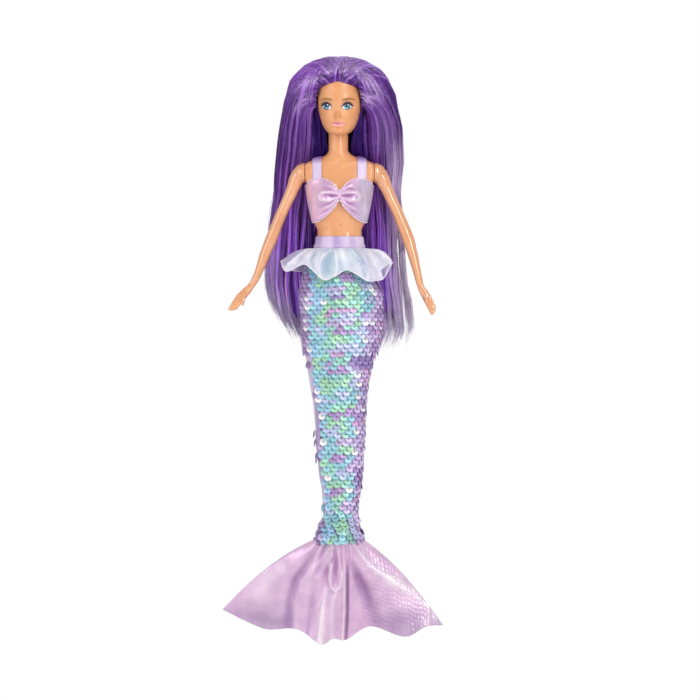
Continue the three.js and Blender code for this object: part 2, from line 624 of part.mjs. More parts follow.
// Height of the face relief at x, z, pushed forwards on the front of the head
function faceRise(x, z) {
  let rise = 0;
  for (const form of FACE) {
    const sides = form.x === 0 ? [1] : [1, -1];
    for (const side of sides) {
      const [dx, dz] = [(x - side * form.x) / form.wide, (z - form.z) / form.tall];
      rise += form.rise * Math.exp(-dx * dx - dz * dz);
    }
  }
  return rise;
}

function faceShift(point) {
  if (point.y < 0) point.y -= faceRise(point.x, point.z) * Math.min(1, -point.y / 4);
  return point;
}

function headHeights() {
  return [
    ...steps(CHIN_Z, CHIN_Z + 1.8, 3),
    ...steps(CHIN_Z + 2.8, EYE_Z + 4, 17),
    ...steps(EYE_Z + 7, HEAD_TOP_Z - 2.8, 6),
    HEAD_TOP_Z - 0.8,
    HEAD_TOP_Z,
  ];
}

// Directions of the head's outline, closer together over the face
function headAngles() {
  const back = steps(0, Math.PI, 10).slice(0, -1);
  const face = steps(0, 1, 24).slice(0, -1)
    .map((t) => Math.PI * (1 + t + 0.09 * Math.sin(2 * Math.PI * t)));
  return [...back, ...face];
}

function earSolid(side, grow = 0) {
  const geometry = new THREE.SphereGeometry(1, 9, 5);
  geometry.scale(EAR.half + grow, EAR.deep + grow, EAR.tall + grow);
  geometry.rotateX(-0.2);
  geometry.translate(side * EAR.x, EAR.y, EAR.z);
  return toSolid(geometry);
}

function headShell() {
  const outer = toSolid(stack(HEAD, headHeights(), headAngles(), { shift: faceShift }));
  const hollowHeights = steps(headFloorZ(), HEAD_TOP_Z - HEAD_WALL, 5);
  const hollow = toSolid(stack(HEAD, hollowHeights, roundAngles(12), { grow: -HEAD_WALL }));
  const neckRecess = barAlongZ(NECK_RADIUS + RUN_GAP, CHIN_Z - 2, NECK_TOP_Z + RUN_GAP, NECK_Y);
  const hole = barAlongZ(KNOB_STEM_RADIUS + RUN_GAP, CHIN_Z, headFloorZ() + 1, NECK_Y);
  const barbSpace = barAlongZ(KNOB_BARB_RADIUS + RUN_GAP, headFloorZ(),
    headFloorZ() + KNOB_BARB_HEIGHT + 2 * RUN_GAP, NECK_Y);
  const shell = outer.add(earSolid(1)).add(earSolid(-1));
  return toGeometry(shell.subtract(hollow).subtract(barbSpace).subtract(neckRecess).subtract(hole));
}

// Locks of hair as soft waves round the mass, and the parting as a groove along the crown
function hairShift(point, angle, section) {
  const fade = Math.min(1, section.half / 12);
  const wave = HAIR_WAVE * Math.sin(HAIR_LOCKS * angle) * fade;
  const outward = new THREE.Vector2(point.x - section.x, point.y - section.y).normalize();
  point.x += wave * outward.x;
  point.y += wave * outward.y;
  const crown = Math.min(1, Math.max(0, (point.z - HAIRLINE_Z) / 8));
  const groove = PARTING_DEPTH * crown * Math.exp(-((point.x / PARTING_HALF) ** 2));
  if (point.y < section.y) point.y += groove;
  return point;
}

function faceOpening() {
  const shape = new THREE.Shape();
  const jawZ = EYE_Z - 4;
  shape.moveTo(-NECK_SHADOW_HALF, HAIR_CUT_Z - 2);
  shape.lineTo(NECK_SHADOW_HALF, HAIR_CUT_Z - 2);
  shape.lineTo(NECK_SHADOW_HALF, jawZ - 7);
  shape.quadraticCurveTo(NECK_SHADOW_HALF, jawZ, FACE_HALF, jawZ);
  shape.bezierCurveTo(FACE_HALF + 0.6, HAIRLINE_Z - 6, FACE_HALF - 4.6, HAIRLINE_Z, 0, HAIRLINE_Z);
  shape.bezierCurveTo(-FACE_HALF + 4.6, HAIRLINE_Z, -FACE_HALF - 0.6, HAIRLINE_Z - 6, -FACE_HALF, jawZ);
  shape.quadraticCurveTo(-NECK_SHADOW_HALF, jawZ, -NECK_SHADOW_HALF, jawZ - 7);
  return plateAlongY(shape, -60, 1, 5);
}

function hairCrown() {
  const heights = [...steps(HAIR_CUT_Z, EYE_Z + 15, 6), ...steps(EYE_Z + 18, HEAD_TOP_Z + 2.8, 4),
    HEAD_TOP_Z + 4.2];
  const mass = toSolid(stack(HAIR, heights, roundAngles(HAIR_LOCKS * 3), { shift: hairShift }));
  const scalpHeights = [...steps(CHIN_Z + 0.8, CHIN_Z + 4, 3), CHIN_Z + 7.5,
    ...steps(EYE_Z - 6, EYE_Z + 14, 3), ...steps(EYE_Z + 17.5, HEAD_TOP_Z - 1, 4), HEAD_TOP_Z];
  const scalp = toSolid(stack(HEAD, scalpHeights, roundAngles(18), { grow: SCALP_GAP }));
  const crownCap = toSolid(stack([
    { z: HEAD_TOP_Z - 1, half: 5, y: 1.5, front: 5, back: 6, power: 2 },
    { z: HEAD_TOP_Z + 0.8, half: 3, y: 1.5, front: 3, back: 3.6, power: 2 },
  ], [HEAD_TOP_Z - 1, HEAD_TOP_Z + 0.8], roundAngles(12)));
  const neckSpace = plateAlongY(new THREE.Shape([
    new THREE.Vector2(-NECK_SHADOW_HALF, HAIR_CUT_Z - 2),
    new THREE.Vector2(NECK_SHADOW_HALF, HAIR_CUT_Z - 2),
    new THREE.Vector2(NECK_SHADOW_HALF - 3, CHIN_Z + 8),
    new THREE.Vector2(-NECK_SHADOW_HALF + 3, CHIN_Z + 8),
  ]), -60, NECK_Y + NECK_RADIUS + 2);
  return toGeometry(mass.subtract(scalp).subtract(crownCap).subtract(faceOpening()).subtract(neckSpace)
    .subtract(earSolid(1, 0.5)).subtract(earSolid(-1, 0.5)));
}

// One hanging mass of long hair, ribbed by its locks, mirrored to the side it hangs on
function hairFall(rows, side) {
  const placed = rows.map((row) => ({ ...row, x: row.x * side }));
  const shift = (point, angle, section) => {
    const wave = FALL_WAVE * Math.sin(FALL_LOCKS * angle) * Math.min(1, section.half / 12);
    point.y += wave * Math.sign(point.y - section.y);
    return point;
  };
  const heights = steps(rows[rows.length - 1].z, rows[0].z, 8);
  return stack(placed, heights, roundAngles(24), { shift });
}

// Arm: a round shoulder cap, the limb to the knuckles, four fingers and a thumb, and the plug
// with its flange, joined into one body
function armGeometry(arm, side) {
  const place = (row) => ({
    ...row, x: side * (SEAM_X + row.out), y: row.y, z: SHOULDER_Z - row.drop,
  });
  const seam = side * (SEAM_X + SEAM_GAP);
  const rows = arm.rows.map(place);
  const knuckle = rows[rows.length - 1];
  for (let i = 1; i <= 3; i += 1) rows[rows.length - i].flat = HAND_FLATNESS;
  const cap = new THREE.SphereGeometry(1, 16, 8);
  cap.scale(SHOULDER_BULGE, SHOULDER_RADIUS, SHOULDER_RADIUS);
  cap.translate(seam, 0, SHOULDER_Z);
  const [low, high] = [seam, side * BEYOND].sort((a, b) => a - b);
  const outside = box([low, -BEYOND, -BEYOND], [high, BEYOND, BEYOND]);
  let body = toSolid(cap).add(toSolid(limb(rows, 12, 1))).intersect(outside);
  const tips = place(arm.tips);
  const reach = new THREE.Vector3(tips.x - knuckle.x, tips.y - knuckle.y, tips.z - knuckle.z);
  const across = new THREE.Vector3(-reach.z, 0, reach.x).normalize();
  FINGER_LENGTHS.forEach((share, i) => {
    const offset = (i - 1.5) * FINGER_PITCH;
    const root = new THREE.Vector3(knuckle.x, knuckle.y, knuckle.z)
      .addScaledVector(across, offset).addScaledVector(reach, -0.12);
    const tip = root.clone().addScaledVector(reach, share + 0.12).addScaledVector(across, offset * 0.3);
    const bend = root.clone().lerp(tip, 0.5);
    bend.y -= 0.5;
    body = body.add(toSolid(limb([
      { x: root.x, y: root.y, z: root.z, half: FINGER_RADIUS * 1.15 },
      { x: bend.x, y: bend.y, z: bend.z, half: FINGER_RADIUS },
      { x: tip.x, y: tip.y, z: tip.z, half: FINGER_RADIUS * 0.6 },
    ], 6, 1)));
  });
  const thumb = place(arm.thumb);
  const wrist = rows[rows.length - 2];
  const bent = {
    x: (wrist.x + thumb.x) / 2,
    y: (wrist.y + thumb.y) / 2 - 0.6,
    z: (wrist.z + thumb.z) / 2,
  };
  body = body.add(toSolid(limb([
    { x: wrist.x, y: wrist.y, z: wrist.z, half: FINGER_RADIUS * 1.8 },
    { ...bent, half: FINGER_RADIUS * 1.3 },
    { x: thumb.x, y: thumb.y, z: thumb.z, half: FINGER_RADIUS * 0.75 },
  ], 6, 1)));
  const wallInside = SEAM_X - TORSO_WALL;
  const flangeOuter = wallInside - RUN_GAP;
  const stub = [side * (flangeOuter - FLANGE_THICKNESS), side * (SEAM_X + 3)].sort((a, b) => a - b);
  const flange = [side * (flangeOuter - FLANGE_THICKNESS), side * flangeOuter].sort((a, b) => a - b);
  body = body.add(barAlongX(PLUG_RADIUS, ...stub, 0, SHOULDER_Z, 16))
    .add(barAlongX(FLANGE_RADIUS, ...flange, 0, SHOULDER_Z, 16));
  return toGeometry(body);
}

// Leg: half of the figure below the waist, rounded on the inside below the crotch, with a barrel
// about the hip pin on top and a notch in front that lets it fold forwards
function legGeometry(side) {
  const heights = [...steps(TOE_Z, ANKLE_Z, 2), ...steps(ANKLE_Z + 10, HIP_Z - CROTCH_DROP, 9),
    HIP_Z - BARREL_RADIUS - RUN_GAP, HIP_Z - 6, HIP_Z, HIP_Z + BARREL_RADIUS / 2, HIP_Z + BARREL_RADIUS];
  const rings = heights.map((z) => legOutline(z, side));
  const wide = 60;
  const barrel = barAlongX(BARREL_RADIUS, -wide, wide, HIP_Y, HIP_Z, 28);
  const below = box([-wide, -wide, -BEYOND], [wide, wide, HIP_Z - RUN_GAP / 2]);
  const notch = frontWedge(-THIGH_NOTCH_DEG, 90, -wide, wide).subtract(barrel);
  const hole = [side * (WEB_HALF - 1), side * (PIN_HALF + RUN_GAP)].sort((a, b) => a - b);
  return toGeometry(toSolid(loft(rings)).intersect(barrel.add(below)).subtract(notch)
    .subtract(barAlongX(PIN_RADIUS + RUN_GAP, ...hole, HIP_Y, HIP_Z, 16)));
}

// Level outline of one leg: the figure's own outline on the outside, and a rounded inner side
function legOutline(z, side) {
  const whole = sectionAt(FIGURE, z);
  const apart = Math.min(1, Math.max(0, (HIP_Z - BARREL_RADIUS - z) / (CROTCH_DROP - BARREL_RADIUS)));
  const inner = (WEB_HALF + RUN_GAP) * (1 - apart) + (LEG_GAP / 2) * apart;
  const middle = (whole.half + inner) / 2;
  const turn = Math.acos((middle / whole.half) ** (whole.power / 2));
  const points = steps(-turn, turn, 8).map((angle) => outlinePoint(whole, angle));
  const [front, back] = [-points[0].y, points[points.length - 1].y];
  const inside = { z, x: middle, half: middle - inner, y: 0, front, back, power: 2.3 };
  steps(Math.PI / 2, (3 * Math.PI) / 2, 6).slice(1, -1)
    .forEach((angle) => points.push(outlinePoint(inside, angle)));
  return points.map((p) => new THREE.Vector3(side * p.x, p.y, p.z));
}

// Shell of cloth over the chest between two distances from the skin
function chestCloth(top, bottom, gap, wall) {
  return figureSolid(bottom, top, gap + wall).subtract(figureSolid(bottom, top, gap));
}

// Cup outline as seen from the front, for the doll's left side
function cupShape(side) {
  const shape = new THREE.Shape();
  const at = (x, z) => [side * x, z];
  const knotSide = KNOT_HALF + SEAM_GAP;
  const side0 = SEAM_X + 6;
  shape.moveTo(...at(knotSide, CUP_PEAK_Z + 9));
  shape.quadraticCurveTo(...at(6.5, CUP_TOP_Z - 3.6), ...at(STRAP_X - STRAP_HALF, CUP_TOP_Z - 0.5));
  shape.lineTo(...at(STRAP_X + STRAP_HALF, CUP_TOP_Z));
  shape.quadraticCurveTo(...at(STRAP_X + 4.5, CUP_TOP_Z - 2.6), ...at(side0, BAND_TOP_Z));
  shape.lineTo(...at(side0, CUP_HEM_Z - 0.6));
  shape.lineTo(...at(17.6, CUP_HEM_Z));
  shape.quadraticCurveTo(...at(9, CUP_HEM_Z + 1.2), ...at(knotSide, CUP_PEAK_Z));
  return shape;
}

function bodiceCup(side) {
  const cloth = chestCloth(CUP_TOP_Z + 1, CUP_HEM_Z - 2, CLOTH_GAP, BODICE_WALL);
  return toGeometry(cloth.intersect(plateAlongY(cupShape(side), -60, -SEAM_GAP / 2)));
}

// Back of the top: a band from side seam to side seam
function bodiceBack() {
  const between = roundAngles(FIGURE_SIDES).filter((a) => a > 0.05 && a < Math.PI - 0.05);
  const angles = [0.012, ...between, Math.PI - 0.012];
  const arc = (z, grow) => angles.map((angle) => outlinePoint(sectionAt(FIGURE, z), angle, grow));
  return loft(figureHeights(BAND_HEM_Z, BAND_TOP_Z).map((z) => [
    ...arc(z, CLOTH_GAP + BODICE_WALL),
    ...arc(z, CLOTH_GAP).reverse(),
  ]), 'strip');
}

// Hook-and-loop strip down the middle of the back band, on its outside
function bodiceClosure() {
  const [top, bottom] = [BAND_TOP_Z - 1, BAND_HEM_Z + 1];
  const base = CLOTH_GAP + BODICE_WALL + SEAM_GAP;
  const line = (x, z, lift) => {
    const section = sectionAt(FIGURE, z);
    const across = (Math.abs(x) / section.half) ** section.power;
    return new THREE.Vector3(x, section.y + section.back * (1 - across) ** (1 / section.power) + lift, z);
  };
  const columns = steps(-CLOSURE_HALF, CLOSURE_HALF, 4);
  return loft(steps(bottom, top, 5).map((z) => [
    ...columns.map((x) => line(x, z, base)),
    ...[...columns].reverse().map((x) => line(x, z, base + CLOSURE_WALL)),
  ]), 'strip');
}

// Height of the shoulder's ridge at x, found by halving
function ridgeZ(x) {
  let [low, high] = [SHOULDER_Z + 2.6, NECK_TOP_Z - 10];
  for (let i = 0; i < 30; i += 1) {
    const middle = (low + high) / 2;
    if (sectionAt(FIGURE, middle).half > x) low = middle;
    else high = middle;
  }
  return low;
}

// Point over the shoulder at x: share runs from -1 at the front end to 1 at the back end
function shoulderPoint(x, share, frontEnd, backEnd) {
  const top = ridgeZ(x);
  const end = share < 0 ? frontEnd : backEnd;
  const z = top - (top - end) * share * share;
  const section = sectionAt(FIGURE, z);
  const across = Math.min(1, Math.abs(x) / section.half) ** section.power;
  const deep = (1 - across) ** (1 / section.power) * (share < 0 ? section.front : section.back);
  const y = section.y + Math.sign(share) * deep;
  return share < 0 ? chestShift(new THREE.Vector3(x, y, z)) : new THREE.Vector3(x, y, z);
}

function strapGeometry(side) {
  const [frontEnd, backEnd] = [CUP_TOP_Z + 0.4, BAND_TOP_Z + 0.4];
  const columns = steps(STRAP_X - STRAP_HALF, STRAP_X + STRAP_HALF, 2);
  const lifted = (x, share, lift) => {
    const nudge = 0.02;
    const here = shoulderPoint(x, share, frontEnd, backEnd);
    const ahead = shoulderPoint(x, Math.min(1, share + nudge), frontEnd, backEnd);
    const behind = shoulderPoint(x, Math.max(-1, share - nudge), frontEnd, backEnd);
    const along = ahead.sub(behind).normalize();
    here.y -= along.z * lift;
    here.z += along.y * lift;
    here.x *= side;
    return here;
  };
  const rings = steps(-1, 1, 18).map((share) => [
    ...columns.map((x) => lifted(x, share, CLOTH_GAP + 0.15)),
    ...[...columns].reverse().map((x) => lifted(x, share, CLOTH_GAP + 0.15 + STRAP_WALL)),
  ]);
  return loft(rings, 'strip');
}

// Gathered knot between the cups, pinched in the middle by its own folds
function knotGeometry() {
  const front = outlinePoint(sectionAt(FIGURE, BUST_Z), -Math.PI / 2);
  const skinY = chestShift(front).y;
  const middleZ = CUP_PEAK_Z + 4.6;
  const rings = steps(-1, 1, 8).map((share) => {
    const bulge = Math.sqrt(Math.max(0.06, 1 - share * share));
    return Array.from({ length: 15 }, (_, j) => {
      const angle = (2 * Math.PI * j) / 15;
      const pleat = 1 + 0.1 * Math.cos(5 * angle);
      return new THREE.Vector3(
        KNOT_HALF * bulge * pleat * Math.cos(angle),
        skinY - CLOTH_GAP - 2.3 + 1.9 * bulge * pleat * Math.sin(angle),
        middleZ + (KNOT_TALL - 0.5) * share,
      );
    });
  });
  return loft(rings);
}

// Band of satin round the waist
function waistbandGeometry() {
  const ringOf = (z, grow) => roundAngles(30).map((angle) => outlinePoint(sectionAt(FIGURE, z), angle, grow));
  const outer = steps(-BAND_HEIGHT, 0, 3).map((z) => ringOf(z, CLOTH_GAP + SATIN));
  const inner = steps(0, -BAND_HEIGHT, 3).map((z) => ringOf(z, CLOTH_GAP));
  return loft([...outer, ...inner], 'joined');
}

const SEAM_Z = -BAND_HEIGHT - SEAM_GAP;

function sleevePoint(z, angle, grow) {
  const section = sectionAt(FIGURE, z);
  const point = outlinePoint(section, angle, section.slack + grow);
  for (const lean of SLEEVE_LEAN) point.x += lean.far * Math.exp(-(((z - lean.z) / lean.length) ** 2));
  return point;
}

// Sleeve over both legs: a tube open at the waist and at the ankles
function sleeveGeometry() {
  const bottom = TOE_Z - 4;
  const [sides, levels] = [28, 18];
  const ringOf = (z, grow) => roundAngles(sides).map((angle) => sleevePoint(z, angle, grow));
  const outer = steps(bottom, SEAM_Z, levels).map((z) => ringOf(z, SLEEVE_WALL));
  const inner = steps(bottom, SEAM_Z, levels / 2).map((z) => ringOf(z, RUN_GAP));
  return loft([...outer, ...inner.reverse()], 'joined');
}

// Ruffle: a flared skirt of organza from the band's seam to its wavy hem
function ruffleGeometry() {
  const hem = new THREE.CatmullRomCurve3(RUFFLE_HEM.map((p) => new THREE.Vector3(...p)), true, 'centripetal');
  const columns = 48;
  const rows = 4;
  const rings = [];
  const sheet = (v, lift) => Array.from({ length: columns }, (_, j) => {
    const edge = hem.getPoint(j / columns);
    const angle = Math.atan2(edge.y, edge.x);
    const root = outlinePoint(sectionAt(FIGURE, SEAM_Z), angle, CLOTH_GAP + SATIN + SEAM_GAP);
    root.z = SEAM_Z + RUFFLE_LAP;
    const point = root.clone().lerp(edge, v);
    const outward = new THREE.Vector3(Math.cos(angle), Math.sin(angle), 0);
    point.addScaledVector(outward, RUFFLE_BOW_OUT * Math.sin(Math.PI * v) + lift * 0.5);
    point.z += RUFFLE_BOW_UP * Math.sin(Math.PI * v) + lift * 0.86;
    return point;
  });
  for (const v of steps(0, 1, rows)) rings.push(sheet(v, 0));
  for (const v of steps(1, 0, rows)) rings.push(sheet(v, RUFFLE_WALL));
  return loft(rings, 'joined');
}

// Fin panel: pleats at the ankles that open into a wide hem, in front of or behind the middle
function finGeometry(side) {
  const hem = new THREE.CatmullRomCurve3(FIN_HEM.map(([across, down]) => (
    new THREE.Vector3(FIN_SPAN * across, 0, TOE_Z - FIN_LENGTH * down)
  )));
  const [columns, rows] = [30, 5];
  const gatherZ = TOE_Z - 4 - SEAM_GAP;
  const reach = sectionAt(FIGURE, TOE_Z - 4);
  const gatherDepth = (side < 0 ? reach.front : reach.back) + reach.slack;
  const sheet = (out) => steps(0, 1, rows).map((v) => steps(0, 1, columns).map((u) => {
    const edge = hem.getPoint(u);
    const span = 2 * u - 1;
    const root = new THREE.Vector3(FIN_GATHER_HALF * span, 0, gatherZ);
    const control = root.clone().lerp(edge, 0.5);
    control.z += 2 * FIN_BOW * Math.abs(span) ** 3;
    const point = new THREE.QuadraticBezierCurve3(root, control, edge).getPoint(v);
    const round = Math.sqrt(Math.max(0, 1 - span * span)) * gatherDepth * (1 - v) ** 1.6;
    const pleat = FIN_FOLD_DEPTH * Math.exp(-((span / 0.34) ** 2)) * Math.cos(FIN_FOLDS * Math.PI * span);
    const wave = FIN_WAVE_DEPTH * Math.sin(2.2 * Math.PI * span) * v * v;
    const fold = pleat * Math.sin(Math.PI * (0.08 + 0.8 * v)) + wave;
    point.y = fold + side * (round + FIN_PANEL_GAP / 2 + out);
    return point;
  }));
  const [near, far] = [sheet(0), sheet(FIN_WALL)];
  const rings = near.map((line, i) => [...line, ...[...far[i]].reverse()]);
  return loft(rings, 'strip');
}

const doll = new THREE.Group();

function addPiece(name, geometry, material) {
  const mesh = new THREE.Mesh(geometry, material);
  mesh.name = name;
  doll.add(mesh);
}

function addTorso() {
  const torso = torsoSolid();
  const front = torso.intersect(box([-BEYOND, -BEYOND, -BEYOND], [BEYOND, -SEAM_GAP / 2, BEYOND]));
  const back = torso.intersect(box([-BEYOND, SEAM_GAP / 2, -BEYOND], [BEYOND, BEYOND, BEYOND]));
  addPiece('torso_front', toGeometry(front), SKIN);
  addPiece('torso_back', toGeometry(back), SKIN);
  addPiece('neck_knob', neckKnob(), HARD_PLASTIC);
  addPiece('hip_pin', toGeometry(barAlongX(PIN_RADIUS, -PIN_HALF, PIN_HALF, HIP_Y, HIP_Z, 20)), HARD_PLASTIC);
}

function addHead() {
  addPiece('head_shell', headShell(), SKIN);
  addPiece('hair_crown', hairCrown(), HAIR_FIBRE);
  addPiece('hair_back_fall', hairFall(BACK_FALL, 1), HAIR_FIBRE);
  addPiece('hair_left_fall', hairFall(SIDE_FALL, 1), HAIR_FIBRE);
  addPiece('hair_right_fall', hairFall(SIDE_FALL, -1), HAIR_FIBRE);
}

function addLimbs() {
  addPiece('arm_left', armGeometry(LEFT_ARM, 1), SKIN);
  addPiece('arm_right', armGeometry(RIGHT_ARM, -1), SKIN);
  addPiece('leg_left', legGeometry(1), SKIN);
  addPiece('leg_right', legGeometry(-1), SKIN);
}

function addBodice() {
  addPiece('bodice_cup_left', bodiceCup(1), METALLIC_PINK);
  addPiece('bodice_cup_right', bodiceCup(-1), METALLIC_PINK);
  addPiece('bodice_knot', knotGeometry(), METALLIC_PINK);
  addPiece('bodice_back', bodiceBack(), METALLIC_PINK);
  addPiece('bodice_closure', bodiceClosure(), HOOK_LOOP);
  addPiece('strap_left', strapGeometry(1), SATIN_LILAC);
  addPiece('strap_right', strapGeometry(-1), SATIN_LILAC);
}

function addTail() {
  addPiece('waistband', waistbandGeometry(), SATIN_LILAC);
  addPiece('organza_ruffle', ruffleGeometry(), ORGANZA);
  addPiece('tail_sleeve', sleeveGeometry(), SEQUIN);
  addPiece('fluke_front', finGeometry(-1), LAME);
  addPiece('fluke_back', finGeometry(1), LAME);
}

addTorso();
addHead();
addLimbs();
addBodice();
addTail();

export default doll;
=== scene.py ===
"""Looks of the mermaid doll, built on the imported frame. Lengths are in mm until make() turns them
into metres. +Z is up, the doll faces -Y, left and right are the doll's own (its left is +X)."""

import math

import bpy
import numpy as np
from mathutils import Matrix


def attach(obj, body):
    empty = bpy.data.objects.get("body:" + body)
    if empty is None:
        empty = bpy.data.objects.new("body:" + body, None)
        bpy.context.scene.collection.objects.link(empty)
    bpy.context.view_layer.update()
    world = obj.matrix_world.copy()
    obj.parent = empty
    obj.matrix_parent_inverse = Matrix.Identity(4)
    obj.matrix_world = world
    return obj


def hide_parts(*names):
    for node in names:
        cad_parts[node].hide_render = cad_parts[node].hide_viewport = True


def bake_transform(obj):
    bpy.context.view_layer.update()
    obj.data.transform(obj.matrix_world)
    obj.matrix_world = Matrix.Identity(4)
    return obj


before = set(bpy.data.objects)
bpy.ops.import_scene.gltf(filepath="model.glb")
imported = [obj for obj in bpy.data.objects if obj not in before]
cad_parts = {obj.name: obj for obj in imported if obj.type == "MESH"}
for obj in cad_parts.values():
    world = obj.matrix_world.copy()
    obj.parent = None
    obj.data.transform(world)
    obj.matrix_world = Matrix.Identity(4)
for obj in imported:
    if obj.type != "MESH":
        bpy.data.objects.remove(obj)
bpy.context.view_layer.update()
MM = 0.001
TAU = 2 * math.pi
rng = np.random.default_rng(11)

# Mesh tools


def linear(code):
    """Linear red, green, blue and one, from an sRGB hex colour"""
    rgb = np.array([int(code[i : i + 2], 16) for i in (1, 3, 5)]) / 255
    high = ((rgb + 0.055) / 1.055) ** 2.4
    return (*np.where(rgb <= 0.04045, rgb / 12.92, high), 1.0)


def tones(*codes):
    """Linear red, green and blue of each hex colour"""
    return [np.array(linear(code)[:3]) for code in codes]


def toward(tint, colour, share):
    """Tint moved towards a colour by a share that is given at each point"""
    return tint + (colour - tint) * np.asarray(share)[..., None]


def make(name, points, faces, finish, tint=None, closed=True):
    """Object from points in mm and a list of face arrays. A closed one is turned outwards: its signed
    volume, the sum of the tetrahedra from the origin to its faces, has to be positive."""
    faces = [np.asarray(f, np.int32) for f in (faces if isinstance(faces, list) else [faces])]
    points = np.asarray(points, float).reshape(-1, 3)
    if closed:
        volume = 0.0
        for f in faces:
            a = points[f[:, 0]]
            for k in range(1, f.shape[1] - 1):
                volume += (a * np.cross(points[f[:, k]], points[f[:, k + 1]])).sum()
        if volume < 0:
            faces = [f[:, ::-1] for f in faces]
    mesh = bpy.data.meshes.new(name)
    mesh.vertices.add(len(points))
    mesh.vertices.foreach_set("co", (points * MM).astype(np.float32).ravel())
    corners = np.concatenate([f.ravel() for f in faces])
    counts = np.concatenate([np.full(len(f), f.shape[1]) for f in faces])
    mesh.loops.add(len(corners))
    mesh.loops.foreach_set("vertex_index", corners)
    mesh.polygons.add(len(counts))
    starts = np.concatenate([[0], np.cumsum(counts)[:-1]]).astype(np.int32)
    mesh.polygons.foreach_set("loop_start", starts)
    mesh.update(calc_edges=True)
    mesh.validate()
    mesh.shade_smooth()
    if tint is not None:
        colour = mesh.attributes.new("tint", "FLOAT_COLOR", "POINT")
        rgba = np.ones((len(points), 4), np.float32)
        rgba[:, :3] = np.asarray(tint).reshape(-1, 3)
        colour.data.foreach_set("color", rgba.ravel())
    mesh.materials.append(finish)
    item = bpy.data.objects.new(name, mesh)
    bpy.context.scene.collection.objects.link(item)
    return item


def quads(rows, columns, wrap=True):
    """Quads of a grid of rows by columns, its last column joined to the first when it wraps"""
    i = np.arange(rows - 1)[:, None]
    j = np.arange(columns if wrap else columns - 1)[None, :]
    k = (j + 1) % columns
    corners = [i * columns + j, i * columns + k, (i + 1) * columns + k, (i + 1) * columns + j]
    return np.stack(corners, -1).reshape(-1, 4)


def open_sheet(name, points, finish, tint=None, wrap=False):
    """Object of one layer over a grid of points (rows, columns, 3)"""
    return make(name, points, quads(*points.shape[:2], wrap), finish, tint, closed=False)


def face_way(item, axis, way):
    """Turns an open sheet's faces to look mostly along an axis, or against it where way is -1"""
    if sum(getattr(face.normal, axis) for face in item.data.polygons) * way < 0:
        item.data.flip_normals()


def thicken(item, thickness, offset):
    """Gives a sheet its thickness in mm: outwards at offset 1, inwards at -1, both ways at 0"""
    cloth = item.modifiers.new("cloth", "SOLIDIFY")
    cloth.thickness = thickness * MM
    cloth.offset = offset


def lofted(rings):
    """Closed skin over rings (rows, columns, 3), each end closed by a fan round its middle"""
    rows, columns = rings.shape[:2]
    points = np.concatenate([rings.reshape(-1, 3), rings[:1].mean(1), rings[-1:].mean(1)])
    j = np.arange(columns)
    k = (j + 1) % columns
    low, high = rows * columns, rows * columns + 1
    first = np.stack([np.full(columns, low), k, j], 1)
    last = (rows - 1) * columns
    final = np.stack([np.full(columns, high), last + j, last + k], 1)
    return points, [quads(rows, columns), np.concatenate([first, final])]


def tubes(paths, normals, wide, thick, sides):
    """Closed tapering tubes along paths (n, k, 3). Their oval sections are wide across and thick
    along the normals."""
    n, k = paths.shape[:2]
    along = np.gradient(paths, axis=1)
    along /= np.linalg.norm(along, axis=2, keepdims=True) + 1e-9
    normals = normals - along * (normals * along).sum(2, keepdims=True)
    normals /= np.linalg.norm(normals, axis=2, keepdims=True) + 1e-9
    across = np.cross(along, normals)
    turn = TAU * (np.arange(sides) + 0.5) / sides
    c, s = np.cos(turn)[None, None, :, None], np.sin(turn)[None, None, :, None]
    points = (
        paths[:, :, None]
        + across[:, :, None] * c * wide[:, :, None, None]
        + normals[:, :, None] * s * thick[:, :, None, None]
    )
    one = quads(k, sides)
    base = np.arange(n)[:, None, None] * (k * sides)
    body = (one[None] + base).reshape(-1, 4)
    ends = np.stack([np.arange(sides)[::-1], (k - 1) * sides + np.arange(sides)])
    return points.reshape(-1, 3), [body, (ends[None] + base).reshape(-1, sides)]


def joined(parts):
    """One list of points and faces from several"""
    points, faces, start = [], [], 0
    for p, f in parts:
        points.append(p)
        faces += [x + start for x in (f if isinstance(f, list) else [f])]
        start += len(p)
    return np.concatenate(points), faces


def smooth(x, low=0.0, high=1.0):
    """0 below low, 1 above high, an even curve between"""
    t = np.clip((np.asarray(x, float) - low) / (high - low), 0, 1)
    return t * t * (3 - 2 * t)


def bell(x, wide):
    """1 where x is 0, falling off on both sides as exp of minus (x / wide) squared"""
    return np.exp(-((x / wide) ** 2))


def along_lines(x, z, lines):
    """Soft ridges that follow lines. Each row of a line is a point x, z, the rise there and the half
    width: the rise falls off as a bell with the distance from the line."""
    total = np.zeros(np.shape(x))
    for line in lines:
        best, rise, wide = np.full(total.shape, 1e9), np.zeros(total.shape), np.ones(total.shape)
        for (x0, z0, r0, w0), (x1, z1, r1, w1) in zip(line[:-1], line[1:]):
            dx, dz = x1 - x0, z1 - z0
            t = np.clip(((x - x0) * dx + (z - z0) * dz) / (dx * dx + dz * dz), 0, 1)
            away = np.hypot(x - x0 - t * dx, z - z0 - t * dz)
            near = away < best
            best = np.where(near, away, best)
            rise = np.where(near, r0 + t * (r1 - r0), rise)
            wide = np.where(near, w0 + t * (w1 - w0), wide)
        total = total + rise * bell(best, wide)
    return total


